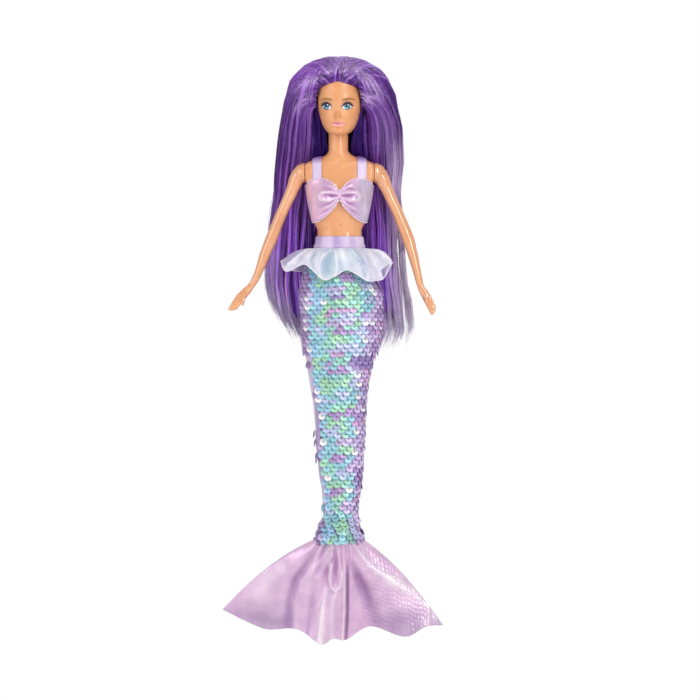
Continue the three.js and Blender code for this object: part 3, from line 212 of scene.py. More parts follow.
def curve(table, column, z):
    """Column of a table at heights z, on a smooth curve that never overshoots its rows"""
    t = np.array(sorted(table, key=lambda row: row[0]), float)
    h, v = t[:, 0], t[:, column]
    slope = np.diff(v) / np.diff(h)
    before, after = slope[:-1], slope[1:]
    total = np.where(np.abs(before + after) < 1e-12, 1, before + after)
    inner = np.where(before * after <= 0, 0, 2 * before * after / total)
    tangent = np.concatenate([slope[:1], inner, slope[-1:]])
    z = np.clip(np.asarray(z, float), h[0], h[-1])
    i = np.clip(np.searchsorted(h, z, side="left") - 1, 0, len(h) - 2)
    span = h[i + 1] - h[i]
    f = (z - h[i]) / span
    ease = f * f * (3 - 2 * f)
    bend = f * (1 - f) * span
    return v[i] * (1 - ease) + v[i + 1] * ease + bend * ((1 - f) * tangent[i] - f * tangent[i + 1])


def outline(table, z, angle, grow=0.0):
    """Points of a table's level sections: columns z, half, y, front, back, power. The outline is a
    superellipse; angle 0 is +X and a quarter turn is +Y."""
    z, angle = np.broadcast_arrays(np.asarray(z, float), angle)
    half, y0, front, back, power = (curve(table, i, z) for i in range(1, 6))
    c, s = np.cos(angle), np.sin(angle)
    deep = np.where(s < 0, front, back) + grow
    x = (half + grow) * np.sign(c) * np.abs(c) ** (2 / power)
    y = y0 + deep * np.sign(s) * np.abs(s) ** (2 / power)
    return np.stack([x, y, z], -1)


def spline(points, count):
    """Points evenly along a centripetal Catmull-Rom curve, whose tangents allow for the distances
    between the points"""
    p = np.asarray(points, float)
    p = np.concatenate([2 * p[:1] - p[1:2], p, 2 * p[-1:] - p[-2:-1]])
    segments = len(p) - 3
    u = np.arange(count) / (count - 1) * segments
    i = np.minimum(u.astype(int), segments - 1)
    t = (u - i)[:, None]
    a, b, c, d = p[i], p[i + 1], p[i + 2], p[i + 3]
    k1, k2, k3 = (
        np.linalg.norm(y - x, axis=1, keepdims=True) ** 0.5 + 1e-9 for x, y in ((a, b), (b, c), (c, d)))
    m1 = ((b - a) / k1 - (c - a) / (k1 + k2) + (c - b) / k2) * k2
    m2 = ((c - b) / k2 - (d - b) / (k2 + k3) + (d - c) / k3) * k2
    return b + t * m1 + t * t * (3 * (c - b) - 2 * m1 - m2) + t**3 * (2 * (b - c) + m1 + m2)


# Materials

PER_MM = 1000


def wire(tree, node, values):
    """Sets a node's inputs by name or number, or links them to another node's output"""
    for key, value in dict(values).items():
        if isinstance(value, bpy.types.NodeSocket):
            tree.links.new(value, node.inputs[key])
        else:
            node.inputs[key].default_value = value


def add(tree, kind, values=(), stops=(), out=0, **settings):
    """Adds a node with its settings, its inputs set or linked, and a ramp's stops as pairs of place
    and hex colour. Gives one of its outputs, or the node itself where out is None."""
    node = tree.nodes.new("ShaderNode" + kind)
    for key, value in settings.items():
        setattr(node, key, value)
    if stops:
        for point, (at, code) in zip(node.color_ramp.elements, stops):
            point.position = at
            point.color = linear(code)
    wire(tree, node, values)
    return node if out is None else node.outputs[out]


def blank(item):
    """Emptied node tree of a material or world"""
    item.use_nodes = True
    item.node_tree.nodes.clear()
    return item.node_tree


def material(name):
    """An empty material with its shader and output, and the object's own coordinates"""
    item = bpy.data.materials.new(name)
    tree = blank(item)
    shader = add(tree, "BsdfPrincipled", out=None)
    add(tree, "OutputMaterial", {"Surface": shader.outputs[0]}, out=None)
    return item, tree, shader, add(tree, "TexCoord", out="Object")


def skin_material(name, gloss, index=1.5):
    """Tan vinyl: soft light under a satin surface, faint mottling and mould texture, and as much
    clear gloss as the part has: little on the soft face, more on the hard body and arms"""
    item, tree, shader, place = material(name)
    mottle = add(tree, "TexNoise", {"Vector": place, "Scale": PER_MM / 9, "Detail": 3})
    wear = add(tree, "TexNoise", {"Vector": place, "Scale": PER_MM / 3, "Detail": 3})
    grain = add(tree, "TexNoise", {"Vector": place, "Scale": PER_MM / 0.5})
    wire(tree, shader, {
        "Base Color": add(tree, "ValToRGB", {"Fac": mottle}, [(0.3, "#e29a67"), (0.7, "#eaa873")]),
        "Roughness": add(tree, "MapRange", {"Value": wear, 1: 0.3, 2: 0.7, 3: 0.3, 4: 0.38}),
        "Normal": add(tree, "Bump", {"Height": grain, "Strength": 0.12, "Distance": 0.04 * MM}),
        "Coat Weight": gloss,
        "Coat IOR": index,
        "Coat Roughness": 0.07,
        "Subsurface Weight": 0.05,
        "Subsurface Radius": (0.6 * MM, 0.3 * MM, 0.2 * MM),
        "Subsurface Scale": 1.0,
    })
    return item


def hard_material():
    """Unpainted moulded plastic: even, with a faint flow pattern"""
    item, tree, shader, place = material("joint_plastic")
    flow = add(tree, "TexNoise", {"Vector": place, "Scale": PER_MM / 4})
    grain = add(tree, "TexNoise", {"Vector": place, "Scale": PER_MM / 0.4})
    wire(tree, shader, {
        "Base Color": add(tree, "ValToRGB", {"Fac": flow}, [(0.3, "#d6cfc4"), (0.7, "#e0dad0")]),
        "Normal": add(tree, "Bump", {"Height": grain, "Strength": 0.1, "Distance": 0.04 * MM}),
        "Roughness": 0.5,
    })
    return item


def paint_material(name, colour, roughness=0.35, spread=0.08):
    """Tampo-printed paint: one colour, slightly uneven in depth, glossier than the vinyl"""
    item, tree, shader, place = material(name)
    base = tones(colour)[0]
    low, high = (*(base * (1 - spread)), 1.0), (*np.minimum(base * (1 + spread), 1), 1.0)
    depth = add(tree, "TexNoise", {"Vector": place, "Scale": PER_MM / 0.6})
    wire(tree, shader, {
        "Base Color": add(tree, "Mix", {"Factor": depth, 6: low, 7: high}, out=2, data_type="RGBA"),
        "Roughness": roughness,
    })
    return item


def hair_material():
    """Doll-hair fibre: its colour, painted light and shade included, comes strand by strand, with fine
    streaks along the hair
    """
    item, tree, shader, place = material("hair_fibre")
    drawn = add(tree, "Mapping", {"Vector": place, "Scale": (1, 1, 0.03)})
    streak = add(tree, "TexNoise", {"Vector": drawn, "Scale": PER_MM / 0.5, "Detail": 3, "Roughness": 0.6})
    shade = add(tree, "ValToRGB", {"Fac": streak}, [(0.3, "#cfc6dc"), (0.7, "#ffffff")])
    own = add(tree, "Attribute", attribute_name="tint")
    both = {"Factor": 1.0, 6: own, 7: shade}
    wire(tree, shader, {
        "Base Color": add(tree, "Mix", both, out=2, data_type="RGBA", blend_type="MULTIPLY"),
        "Roughness": add(tree, "MapRange", {"Value": streak, 1: 0.3, 2: 0.7, 3: 0.42, 4: 0.28}),
        "Specular IOR Level": 0.3,
        "Specular Tint": linear("#c79cff"),
    })
    return item


def satin_material(name, low, high, top=None):
    """Satin: fine weave, its threads drawn 0.35 mm apart and so coarser than real, to show, a soft
    broad painted sheen in upright bands of lighter colour, small creases, and, when a colour is given for
    it, a top, where it turns away from the light, painted in that colour as painted shade with the hair's
    purple reflected in it"""
    item, tree, shader, place = material(name)
    upright = add(tree, "Mapping", {"Vector": place, "Scale": (1, 1, 0.15)})
    # Painted sheen: the base colour runs lighter in broad upright bands
    band = add(tree, "TexNoise", {"Vector": upright, "Scale": PER_MM / 9, "Detail": 1, "Roughness": 0.4})
    tone = add(tree, "ValToRGB", {"Fac": band}, [(0.36, low), (0.6, high)])
    # Painted shade with the hair's purple reflected in it: above the given height the colour turns to the top
    # colour
    if top is not None:
        height = add(tree, "SeparateXYZ", {0: place}, out=2)
        share = add(tree, "MapRange", {"Value": height, 1: 44.5 * MM, 2: 49.5 * MM, 3: 0, 4: 1})
        tone = add(tree, "Mix", {"Factor": share, 6: tone, 7: linear(top)}, out=2, data_type="RGBA")
    threads = {"Vector": place, "Scale": 900.0, "Distortion": 0.4}
    weave = add(tree, "TexWave", threads, out="Fac", bands_direction="Z")
    rough = add(tree, "Bump", {"Height": weave, "Strength": 0.15, "Distance": 0.05 * MM})
    crease = add(tree, "TexNoise", {"Vector": place, "Scale": PER_MM / 5, "Detail": 3})
    wear = add(tree, "TexNoise", {"Vector": place, "Scale": PER_MM / 2})
    creased = {"Height": crease, "Strength": 0.25, "Distance": 0.5 * MM, "Normal": rough}
    wire(tree, shader, {
        "Base Color": tone,
        "Normal": add(tree, "Bump", creased),
        "Roughness": add(tree, "MapRange", {"Value": wear, 1: 0.3, 2: 0.7, 3: 0.3, 4: 0.42}),
        "Sheen Weight": 0.3,
        "Sheen Roughness": 0.3,
    })
    return item


def lame_material(name, low):
    """Metallic-coated knit: crinkled foil-like film over cloth, with a painted highlight on its folds and
    painted shade in its creases, from its own tint
    """
    item, tree, shader, place = material(name)
    cloud = add(tree, "TexNoise", {"Vector": place, "Scale": PER_MM / 9, "Detail": 3})
    patch = add(tree, "ValToRGB", {"Fac": cloud}, [(0.32, low), (0.68, "#ffffff")])
    both = {"Factor": 1.0, 6: patch, 7: add(tree, "Attribute", attribute_name="tint")}
    grain = add(tree, "TexNoise", {"Vector": place, "Scale": PER_MM / 0.35})
    fine = add(tree, "Bump", {"Height": grain, "Strength": 0.25, "Distance": 0.06 * MM})
    crinkle = add(tree, "TexNoise", {"Vector": place, "Scale": PER_MM / 1.1, "Detail": 4, "Roughness": 0.65})
    crinkled = {"Height": crinkle, "Strength": 0.35, "Distance": 0.25 * MM, "Normal": fine}
    wire(tree, shader, {
        "Base Color": add(tree, "Mix", both, out=2, data_type="RGBA", blend_type="MULTIPLY"),
        "Normal": add(tree, "Bump", crinkled),
        "Roughness": add(tree, "MapRange", {"Value": grain, 1: 0.3, 2: 0.7, 3: 0.26, 4: 0.44}),
        "Metallic": 0.35,
        "Sheen Weight": 0.15,
    })
    return item


def organza_material():
    """Sheer organza: a milky, fine weave, its threads drawn 0.45 mm apart and so coarser than real,
    to show. Its own tint says where it lies double and pale, and where it lies single, so that more of
    what is behind shows through."""
    item, tree, shader, place = material("organza")
    mist = add(tree, "TexNoise", {"Vector": place, "Scale": PER_MM / 7})
    cloud = add(tree, "ValToRGB", {"Fac": mist}, [(0.4, "#e9eef8"), (0.6, "#ffffff")])
    own = add(tree, "Attribute", attribute_name="tint")
    both = {"Factor": 1.0, 6: cloud, 7: own}
    threads = {"Vector": place, "Scale": 700.0, "Distortion": 0.6}
    weave = add(tree, "TexWave", threads, out="Fac", bands_direction="DIAGONAL")
    layers = add(tree, "SeparateColor", {0: own})
    wire(tree, shader, {
        "Base Color": add(tree, "Mix", both, out=2, data_type="RGBA", blend_type="MULTIPLY"),
        "Normal": add(tree, "Bump", {"Height": weave, "Strength": 0.12, "Distance": 0.05 * MM}),
        "Alpha": add(tree, "MapRange", {"Value": layers, 1: 0.5, 2: 0.95, 3: 0.62, 4: 0.92}),
        "Roughness": 0.62,
        "Specular IOR Level": 0.25,
        "Sheen Weight": 0.4,
    })
    return item


def sequin_material():
    """Iridescent film discs: each has its own tint and a hard, slightly scuffed gloss"""
    item, tree, shader, place = material("sequin_film")
    scuff = add(tree, "TexNoise", {"Vector": place, "Scale": PER_MM / 1.4, "Detail": 3})
    worn = add(tree, "ValToRGB", {"Fac": scuff}, [(0.3, "#a79cd0"), (0.7, "#e8fff8")])
    both = {"Factor": 0.12, 6: add(tree, "Attribute", attribute_name="tint"), 7: worn}
    wire(tree, shader, {
        "Base Color": add(tree, "Mix", both, out=2, data_type="RGBA"),
        "Roughness": add(tree, "MapRange", {"Value": scuff, 1: 0.3, 2: 0.7, 3: 0.34, 4: 0.5}),
        "Metallic": 0.2,
        "Coat Weight": 0.25,
        "Coat Roughness": 0.22,
    })
    return item


def thread_material(name, colour):
    """Soft matt thread: fine twist and a little fluff"""
    item, tree, shader, place = material(name)
    base = tones(colour)[0]
    low, high = (*(base * 0.8), 1), (*np.minimum(base * 1.1, 1), 1)
    twist = add(tree, "TexNoise", {"Vector": place, "Scale": PER_MM / 0.4, "Detail": 3})
    wire(tree, shader, {
        "Base Color": add(tree, "Mix", {"Factor": twist, 6: low, 7: high}, out=2, data_type="RGBA"),
        "Normal": add(tree, "Bump", {"Height": twist, "Strength": 0.4, "Distance": 0.1 * MM}),
        "Roughness": 0.6,
        "Sheen Weight": 0.3,
    })
    return item


SKIN = skin_material("body_vinyl", 0.45)
ARM_SKIN = skin_material("arm_vinyl", 1.0, 1.8)
FACE_SKIN = skin_material("face_vinyl", 0.04)
HARD = hard_material()
HAIR = hair_material()
SATIN = satin_material("lilac_satin", "#b59fcb", "#dccae6")
# The strap's top colour is painted shade with the hair's purple reflected in it
STRAP = satin_material("strap_satin", "#c9b3da", "#dccbe6", "#8458ae")
# The darker satin under the sequins is painted shade between the discs
SHADED_GROUND = satin_material("sequin_ground_painted_shade", "#5f4a86", "#77609c")
PINK = lame_material("bodice_knit", "#ece4ee")
LAME = lame_material("fin_lame", "#eae4ee")
ORGANZA = organza_material()
SEQUIN = sequin_material()
HEM = thread_material("rolled_hem", "#faf2fb")
PICOT = thread_material("picot_edge", "#f9e3f1")
TAPE = thread_material("hook_and_loop", "#cdb6dc")
DARK_THREAD = thread_material("sequin_thread", "#2a2050")

# Stage: camera, lamps, floor and background

# Millimetres to a pixel of the photograph, its size, and its column and row where x and z are 0
PIXEL, PICTURE = 0.62, 700
COLUMN, ROW = 339.5, 236.5
DISTANCE = 3800.0
FLOOR_Z, FLOOR_HALF = -262.0, 3000
# Name, place and aim in metres, width and height of the lit face, power in watts
LAMPS = [
    ("key", (0.55, -0.98, 0.52), (0, 0, -0.02), 0.13, 1.05, 7.0),
    ("fill", (-0.9, -0.8, 0.25), (0, 0, -0.05), 0.8, 0.8, 3.7),
    ("low", (0.1, -1.1, -0.45), (0, 0, -0.12), 0.7, 0.7, 1.9),
    ("back", (0.35, 0.8, 0.7), (0, 0, 0.05), 0.5, 0.5, 2.6),
]


def lit_and_seen(tree, lit, seen, output):
    """One shader for the light that falls on the doll, and another for what the camera sees"""
    choice = {0: add(tree, "LightPath", out="Is Camera Ray"), 1: lit, 2: seen}
    add(tree, output, {"Surface": add(tree, "MixShader", choice)}, out=None)


def make_stage():
    """Long-lens camera level with the middle of the picture, a tall key lamp and three soft ones,
    a pale room and a white floor"""
    scene = bpy.context.scene
    camera = bpy.data.objects.new("camera", bpy.data.cameras.new("camera"))
    aside, up = (PICTURE / 2 - COLUMN) * PIXEL, (ROW - PICTURE / 2) * PIXEL
    camera.location = (aside * MM, -DISTANCE * MM, up * MM)
    camera.rotation_euler = (math.pi / 2, 0, 0)
    camera.data.lens = camera.data.sensor_width * DISTANCE / (PICTURE * PIXEL)
    scene.collection.objects.link(camera)
    scene.camera = camera
    scene.view_settings.view_transform = "Standard"
    for name, place, aim, wide, tall, power in LAMPS:
        lamp = bpy.data.lights.new(name, "AREA")
        lamp.shape = "RECTANGLE"
        lamp.size = wide
        lamp.size_y = tall
        lamp.energy = power
        item = bpy.data.objects.new(name, lamp)
        item.location = place
        way = np.array(aim) - np.array(place)
        item.rotation_euler = (
            math.acos(-way[2] / np.linalg.norm(way)), 0, math.atan2(way[1], way[0]) - math.pi / 2)
        scene.collection.objects.link(item)
    scene.world = bpy.data.worlds.new("studio")
    tree = blank(scene.world)
    room = add(tree, "Background", {"Color": linear("#f4f2f6"), "Strength": 0.58})
    white = add(tree, "Background", {"Color": (1, 1, 1, 1), "Strength": 1.0})
    lit_and_seen(tree, room, white, "OutputWorld")
    floor_white = bpy.data.materials.new("floor_white")
    tree = blank(floor_white)
    pale = add(tree, "BsdfDiffuse", {"Color": linear("#f2f2f2")})
    glow = add(tree, "Emission", {"Color": (1, 1, 1, 1), "Strength": 1.0})
    lit_and_seen(tree, pale, glow, "OutputMaterial")
    corners = [(x * FLOOR_HALF, y * FLOOR_HALF, FLOOR_Z) for x, y in ((-1, -1), (1, -1), (1, 1), (-1, 1))]
    floor = make("floor", corners, np.array([[0, 1, 2, 3]]), floor_white, closed=False)


make_stage()

# Figure

# Heights of the shoulder joint, eyes and toes, where the arm meets the torso, and how far the neck
# stands to the doll's right
SHOULDER_Z = 39.4
SEAM_X = 21.6
EYE_Z = 80.5
TOE_Z = -184.0
NECK_ASIDE = 0.7
# Level sections of the body: height, half width, middle y, depth in front and behind, power of the
# outline, and the slack of the sleeve over it
FIGURE = [
    (64, 6, 1.5, 6, 6, 2, 0), (54, 6, 1.5, 6, 6, 2, 0), (51, 7.6, 1.2, 6.4, 6.6, 2, 0),
    (49, 11.5, 1, 6.8, 7.2, 2, 0), (47.2, 17, 0.8, 7.2, 7.6, 2.2, 0), (45.4, 21, 0.6, 7.6, 8, 2.4, 0),
    (42, 23.4, 0.4, 8, 8.4, 2.5, 0), (36, 22.6, 0.2, 9, 9, 2.4, 0), (32.2, 20.3, 0, 9.6, 9.3, 2.2, 0),
    (25.5, 19.4, 0, 9.8, 9.2, 2.1, 0), (16, 17.6, 0, 9.6, 8.6, 2.1, 0), (9, 16, 0, 9.3, 8.2, 2.1, 0),
    (3, 13.6, 0, 9, 8, 2, 0), (-3, 13.9, 0, 9.3, 8.6, 2, 0), (-8, 15, 0, 10, 10, 2, 0.4),
    (-14, 16.9, 0, 10.8, 12.2, 2, 0.6), (-20, 19.2, 0, 11.6, 14.4, 2, 1),
    (-28, 21.4, 0, 12.5, 16.2, 2, 1.6), (-38, 22.5, 0, 13, 17, 2, 2), (-52, 22.2, 0, 13.2, 16.4, 2.1, 2),
    (-66, 21, 0, 13, 13.4, 2.2, 2), (-80, 18.4, 0, 12.2, 11.2, 2.2, 0.9),
    (-98, 15.6, 0, 11, 9.4, 2.2, 0.7), (-111, 14.2, 0, 9.6, 9.8, 2.2, 0.7),
    (-128, 13.4, 0, 8.6, 11, 2.2, 0.7), (-146, 11.8, 0, 7.6, 9.6, 2.2, 0.7),
    (-160, 9.9, 0, 6.8, 7.6, 2.2, 0.9), (-171, 8.4, 0, 6.8, 6.4, 2.2, 1.4),
    (-179, 9.2, 0, 9.2, 5.4, 2.2, 2.2), (-184, 9.4, 0, 9.4, 4, 2.2, 3.6),
    (-188, 9.4, 0, 8.4, 5, 2.2, 4.6),
]
BUST_X, BUST_Z, BUST_RISE = 8.6, 25.5, 6.2


def chest(points):
    """Pushes the front of the chest out by the two mounds of the bust"""
    x, z = points[..., 0], points[..., 2]
    mound = sum(np.exp(-(((x - s * BUST_X) / 6.6) ** 2) - ((z - BUST_Z) / 7.2) ** 2) for s in (1, -1))
    points[..., 1] -= BUST_RISE * mound * np.clip(-points[..., 1] / 5, 0, 1)
    return points


def body_relief(points):
    """Collar bones, the notch between them, navel, middle line and spine, in mm along Y"""
    x, y, z = points[..., 0], points[..., 1], points[..., 2]
    bone = bell(z - 45.2 - 0.1 * np.abs(x), 0.9) * smooth(np.abs(x), 2, 5) * (1 - smooth(np.abs(x), 14, 18))
    front = np.clip(-y / 4, 0, 1)
    points[..., 1] -= front * (0.45 * bone - 0.5 * bell(x, 1.8) * bell(z - 46.2, 1.6))
    navel = bell(x - 0.6, 0.75) * bell(z - 6.5, 1.25)
    middle = bell(x - 0.3, 1.4) * smooth(z, -6, 4) * (1 - smooth(z, 9, 17))
    points[..., 1] += front * (1.1 * navel + 0.22 * middle)
    points[..., 1] -= np.clip(y / 4, 0, 1) * 0.6 * bell(x, 1.8) * smooth(z, -6, 4) * (1 - smooth(z, 34, 42))
    return points


def make_torso():
    """Torso over level sections from the hips to the neck, cut flat where the arms meet it and made
    deep enough there for their round caps"""
    rows, columns = 250, 144
    angle = TAU * np.arange(columns) / columns
    z = np.linspace(-24, 64, rows)[:, None]
    rings = body_relief(chest(outline(FIGURE, z, angle)))
    rings[..., 0] -= NECK_ASIDE * smooth(rings[..., 2], 46, 54)
    half, front, power = (curve(FIGURE, i, z) for i in (1, 3, 5))
    edge = front * (1 - np.clip(SEAM_X / half, 0, 1) ** power) ** (1 / power)
    socket = np.sqrt(np.clip(6.2**2 - (z - SHOULDER_Z) ** 2, 0, None))
    fuller = np.clip(socket / np.maximum(edge, 1), 1, 1.5) - 1
    rings[..., 1] *= 1 + fuller * smooth(np.abs(rings[..., 0]), 15, SEAM_X)
    cut = (rings[..., 2] > SHOULDER_Z - 8.2) & (np.abs(rings[..., 0]) > SEAM_X)
    rings[..., 0] = np.where(cut, np.sign(rings[..., 0]) * (SEAM_X + 0.04), rings[..., 0])
    points, faces = lofted(rings)
    torso = make("torso_skin", points, faces, SKIN)
    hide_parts("torso_front", "torso_back")
    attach(torso, "torso")


# Head

# Level sections of the head, as for the figure
HEAD = [
    (62.5, 2, -9.6, 1.8, 2, 2), (63.3, 4.8, -7.6, 4.9, 7, 2), (64.3, 7, -3, 10.4, 11.6, 2.1),
    (65.9, 8.4, -2, 11.9, 12.4, 2.2), (67.5, 9.5, -1, 13.2, 12.6, 2.2), (70, 10.7, -0.5, 14.1, 14.2, 2.2),
    (74, 12, 0, 14.8, 16, 2.2), (80.5, 13.3, 0.5, 15.3, 17.5, 2.2), (86, 14, 1, 15.9, 18, 2.1),
    (92, 14, 1, 15.8, 18, 2), (97, 13.1, 1, 14.2, 17, 2), (101, 11.2, 1.2, 11.6, 14.6, 2),
    (104.5, 7.8, 1.4, 7.6, 10.4, 2), (106.5, 4, 1.5, 4, 5.5, 2), (107.3, 1, 1.5, 1, 1.5, 2),
]
# Rises of the face: place aside, height over the eyes, half width, half height and rise
FACE = [
    (0, -5.8, 1.4, 2.2, 2.2), (0, -1, 1.7, 3.8, 0.75), (1.7, -6.6, 0.9, 0.9, 0.6),
    (6.3, 0, 3.6, 2.5, -1.1), (6.3, 0, 2.4, 1.6, 0.55), (6.5, 5, 4.5, 1.6, 0.35),
    (8.2, -6, 3.6, 3.2, 0.5), (0, -10.2, 2.9, 0.75, 0.85), (0, -12.5, 2.5, 0.85, 0.95),
    (0, -11.3, 3.4, 0.45, -0.35), (0, -14.3, 2.6, 0.7, -0.5), (0, -16.4, 3, 1.8, 0.8),
]
FINE = [
    (0.85, -7.9, 0.4, 0.35, -0.45), (0, -8.8, 0.5, 0.9, -0.18), (4, -11.2, 0.6, 0.6, -0.2),
    (6.3, 2.3, 3.1, 0.4, 0.22), (6.3, -2.1, 2.6, 0.35, 0.14), (2.3, -6.7, 0.55, 0.9, -0.2),
]

HEAD_TURN = math.radians(-4)


def turned(points):
    """Points of the head, turned a little to the doll's right as the photograph shows them"""
    c, s = math.cos(HEAD_TURN), math.sin(HEAD_TURN)
    x, y = points[..., 0], points[..., 1]
    return np.stack([x * c - y * s, x * s + y * c, points[..., 2]], -1)


def face_rise(x, z):
    """Soft rises and hollows of the face, mirrored where they aren't in the middle"""
    total = np.zeros(np.broadcast(x, z).shape)
    for at, height, wide, tall, rise in FACE + FINE:
        for side in (1,) if at == 0 else (1, -1):
            total = total + rise * bell(x - side * at, wide) * bell(z - EYE_Z - height, tall)
    return total


def face_y(x, z):
    """Front of the face at x, z"""
    half, y0, front, power = (curve(HEAD, i, z) for i in (1, 2, 3, 5))
    across = np.clip(np.abs(x) / half, 0, 1) ** power
    y = y0 - front * (1 - across) ** (1 / power)
    return y - face_rise(x, z) * np.clip(-y / 4, 0, 1)


def make_head():
    """Head over level sections with the relief of the face, and two ears: flattened ovals with a
    hollow in their outer side"""
    foot, chin, brow, top = 62.5, 64.3, 90, 107.3
    heights = np.concatenate(
        [np.linspace(foot, chin, 12)[:-1], np.linspace(chin, brow, 190)[:-1], np.linspace(brow, top, 50)])
    t = np.arange(150) / 150
    face = math.pi * (1 + t + 0.09 * np.sin(TAU * t))
    back = math.pi * np.arange(60) / 60
    rings = outline(HEAD, heights[:, None], np.concatenate([back, face]))
    x, y, z = rings[..., 0], rings[..., 1], rings[..., 2]
    rings[..., 1] = np.where(y < 0, y - face_rise(x, z) * np.clip(-y / 4, 0, 1), y)
    parts = [lofted(rings)]
    u = np.linspace(0.02, math.pi - 0.02, 26)[:, None]
    v = TAU * np.arange(36) / 36
    for side in (1, -1):
        x = 1.5 * np.sin(u) * np.cos(v)
        y = 2.2 * np.sin(u) * np.sin(v)
        z = 3.6 * np.cos(u) + 0 * v
        x = x - 0.7 * np.sign(x) * bell(np.hypot(y / 1.4, z / 2.4), 0.6) * (x * side > 0)
        parts.append(lofted(np.stack([side * 12.2 + x * side, 2.5 + y + 0.2 * z, EYE_Z - 1 + z], -1)))
    points, faces = joined(parts)
    head = make("head_skin", turned(points), faces, FACE_SKIN)
    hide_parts("head_shell")
    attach(head, "head")


def on_face(flat, lift):
    """Points x, z laid on the face and lifted off the skin"""
    x, z = flat[:, 0], flat[:, 1]
    return np.stack([x, face_y(x, z) - lift, z], 1)


def printed(name, parts, finish):
    """Paint on the face, from its parts"""
    points, faces = joined(parts)
    item = make(name, turned(points), faces, finish, closed=False)
    face_way(item, "y", -1)
    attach(item, "head")


def decal(name, shapes, finish, lift):
    """Flat printed shapes. Each is a closed line of points x, z round a middle, filled by rings."""
    rings, parts = 6, []
    share = np.linspace(0.0, 1, rings + 1)[1:, None, None]
    for middle, edge in shapes:
        middle, edge = np.asarray(middle, float), np.asarray(edge, float)
        flat = np.concatenate([(middle + (edge - middle) * share).reshape(-1, 2), middle[None]])
        n = len(edge)
        j = np.arange(n)
        fan = np.stack([np.full(n, rings * n), j, (j + 1) % n], 1)
        parts.append((on_face(flat, lift), [quads(rings, n), fan]))
    printed(name, parts, finish)


def stroke(line, wide, count=24):
    """Both edges of a tapered stroke along a line of points x, z, its width given at even steps"""
    path = spline(np.column_stack([np.asarray(line, float), np.zeros(len(line))]), count)[:, :2]
    way = np.gradient(path, axis=0)
    way /= np.linalg.norm(way, axis=1, keepdims=True)
    half = np.interp(np.linspace(0, 1, count), np.linspace(0, 1, len(wide)), wide)[:, None] / 2
    side = np.stack([-way[:, 1], way[:, 0]], 1) * half
    return path + side, path - side


def strip(name, strokes, finish, lift):
    """Tapered strokes as ribbons laid on the face"""
    parts = []
    for line, wide in strokes:
        left, right = stroke(line, wide)
        flat = np.stack([left, (left + right) / 2, right], 1).reshape(-1, 2)
        parts.append((on_face(flat, lift), [quads(len(left), 3, wrap=False)]))
    printed(name, parts, finish)


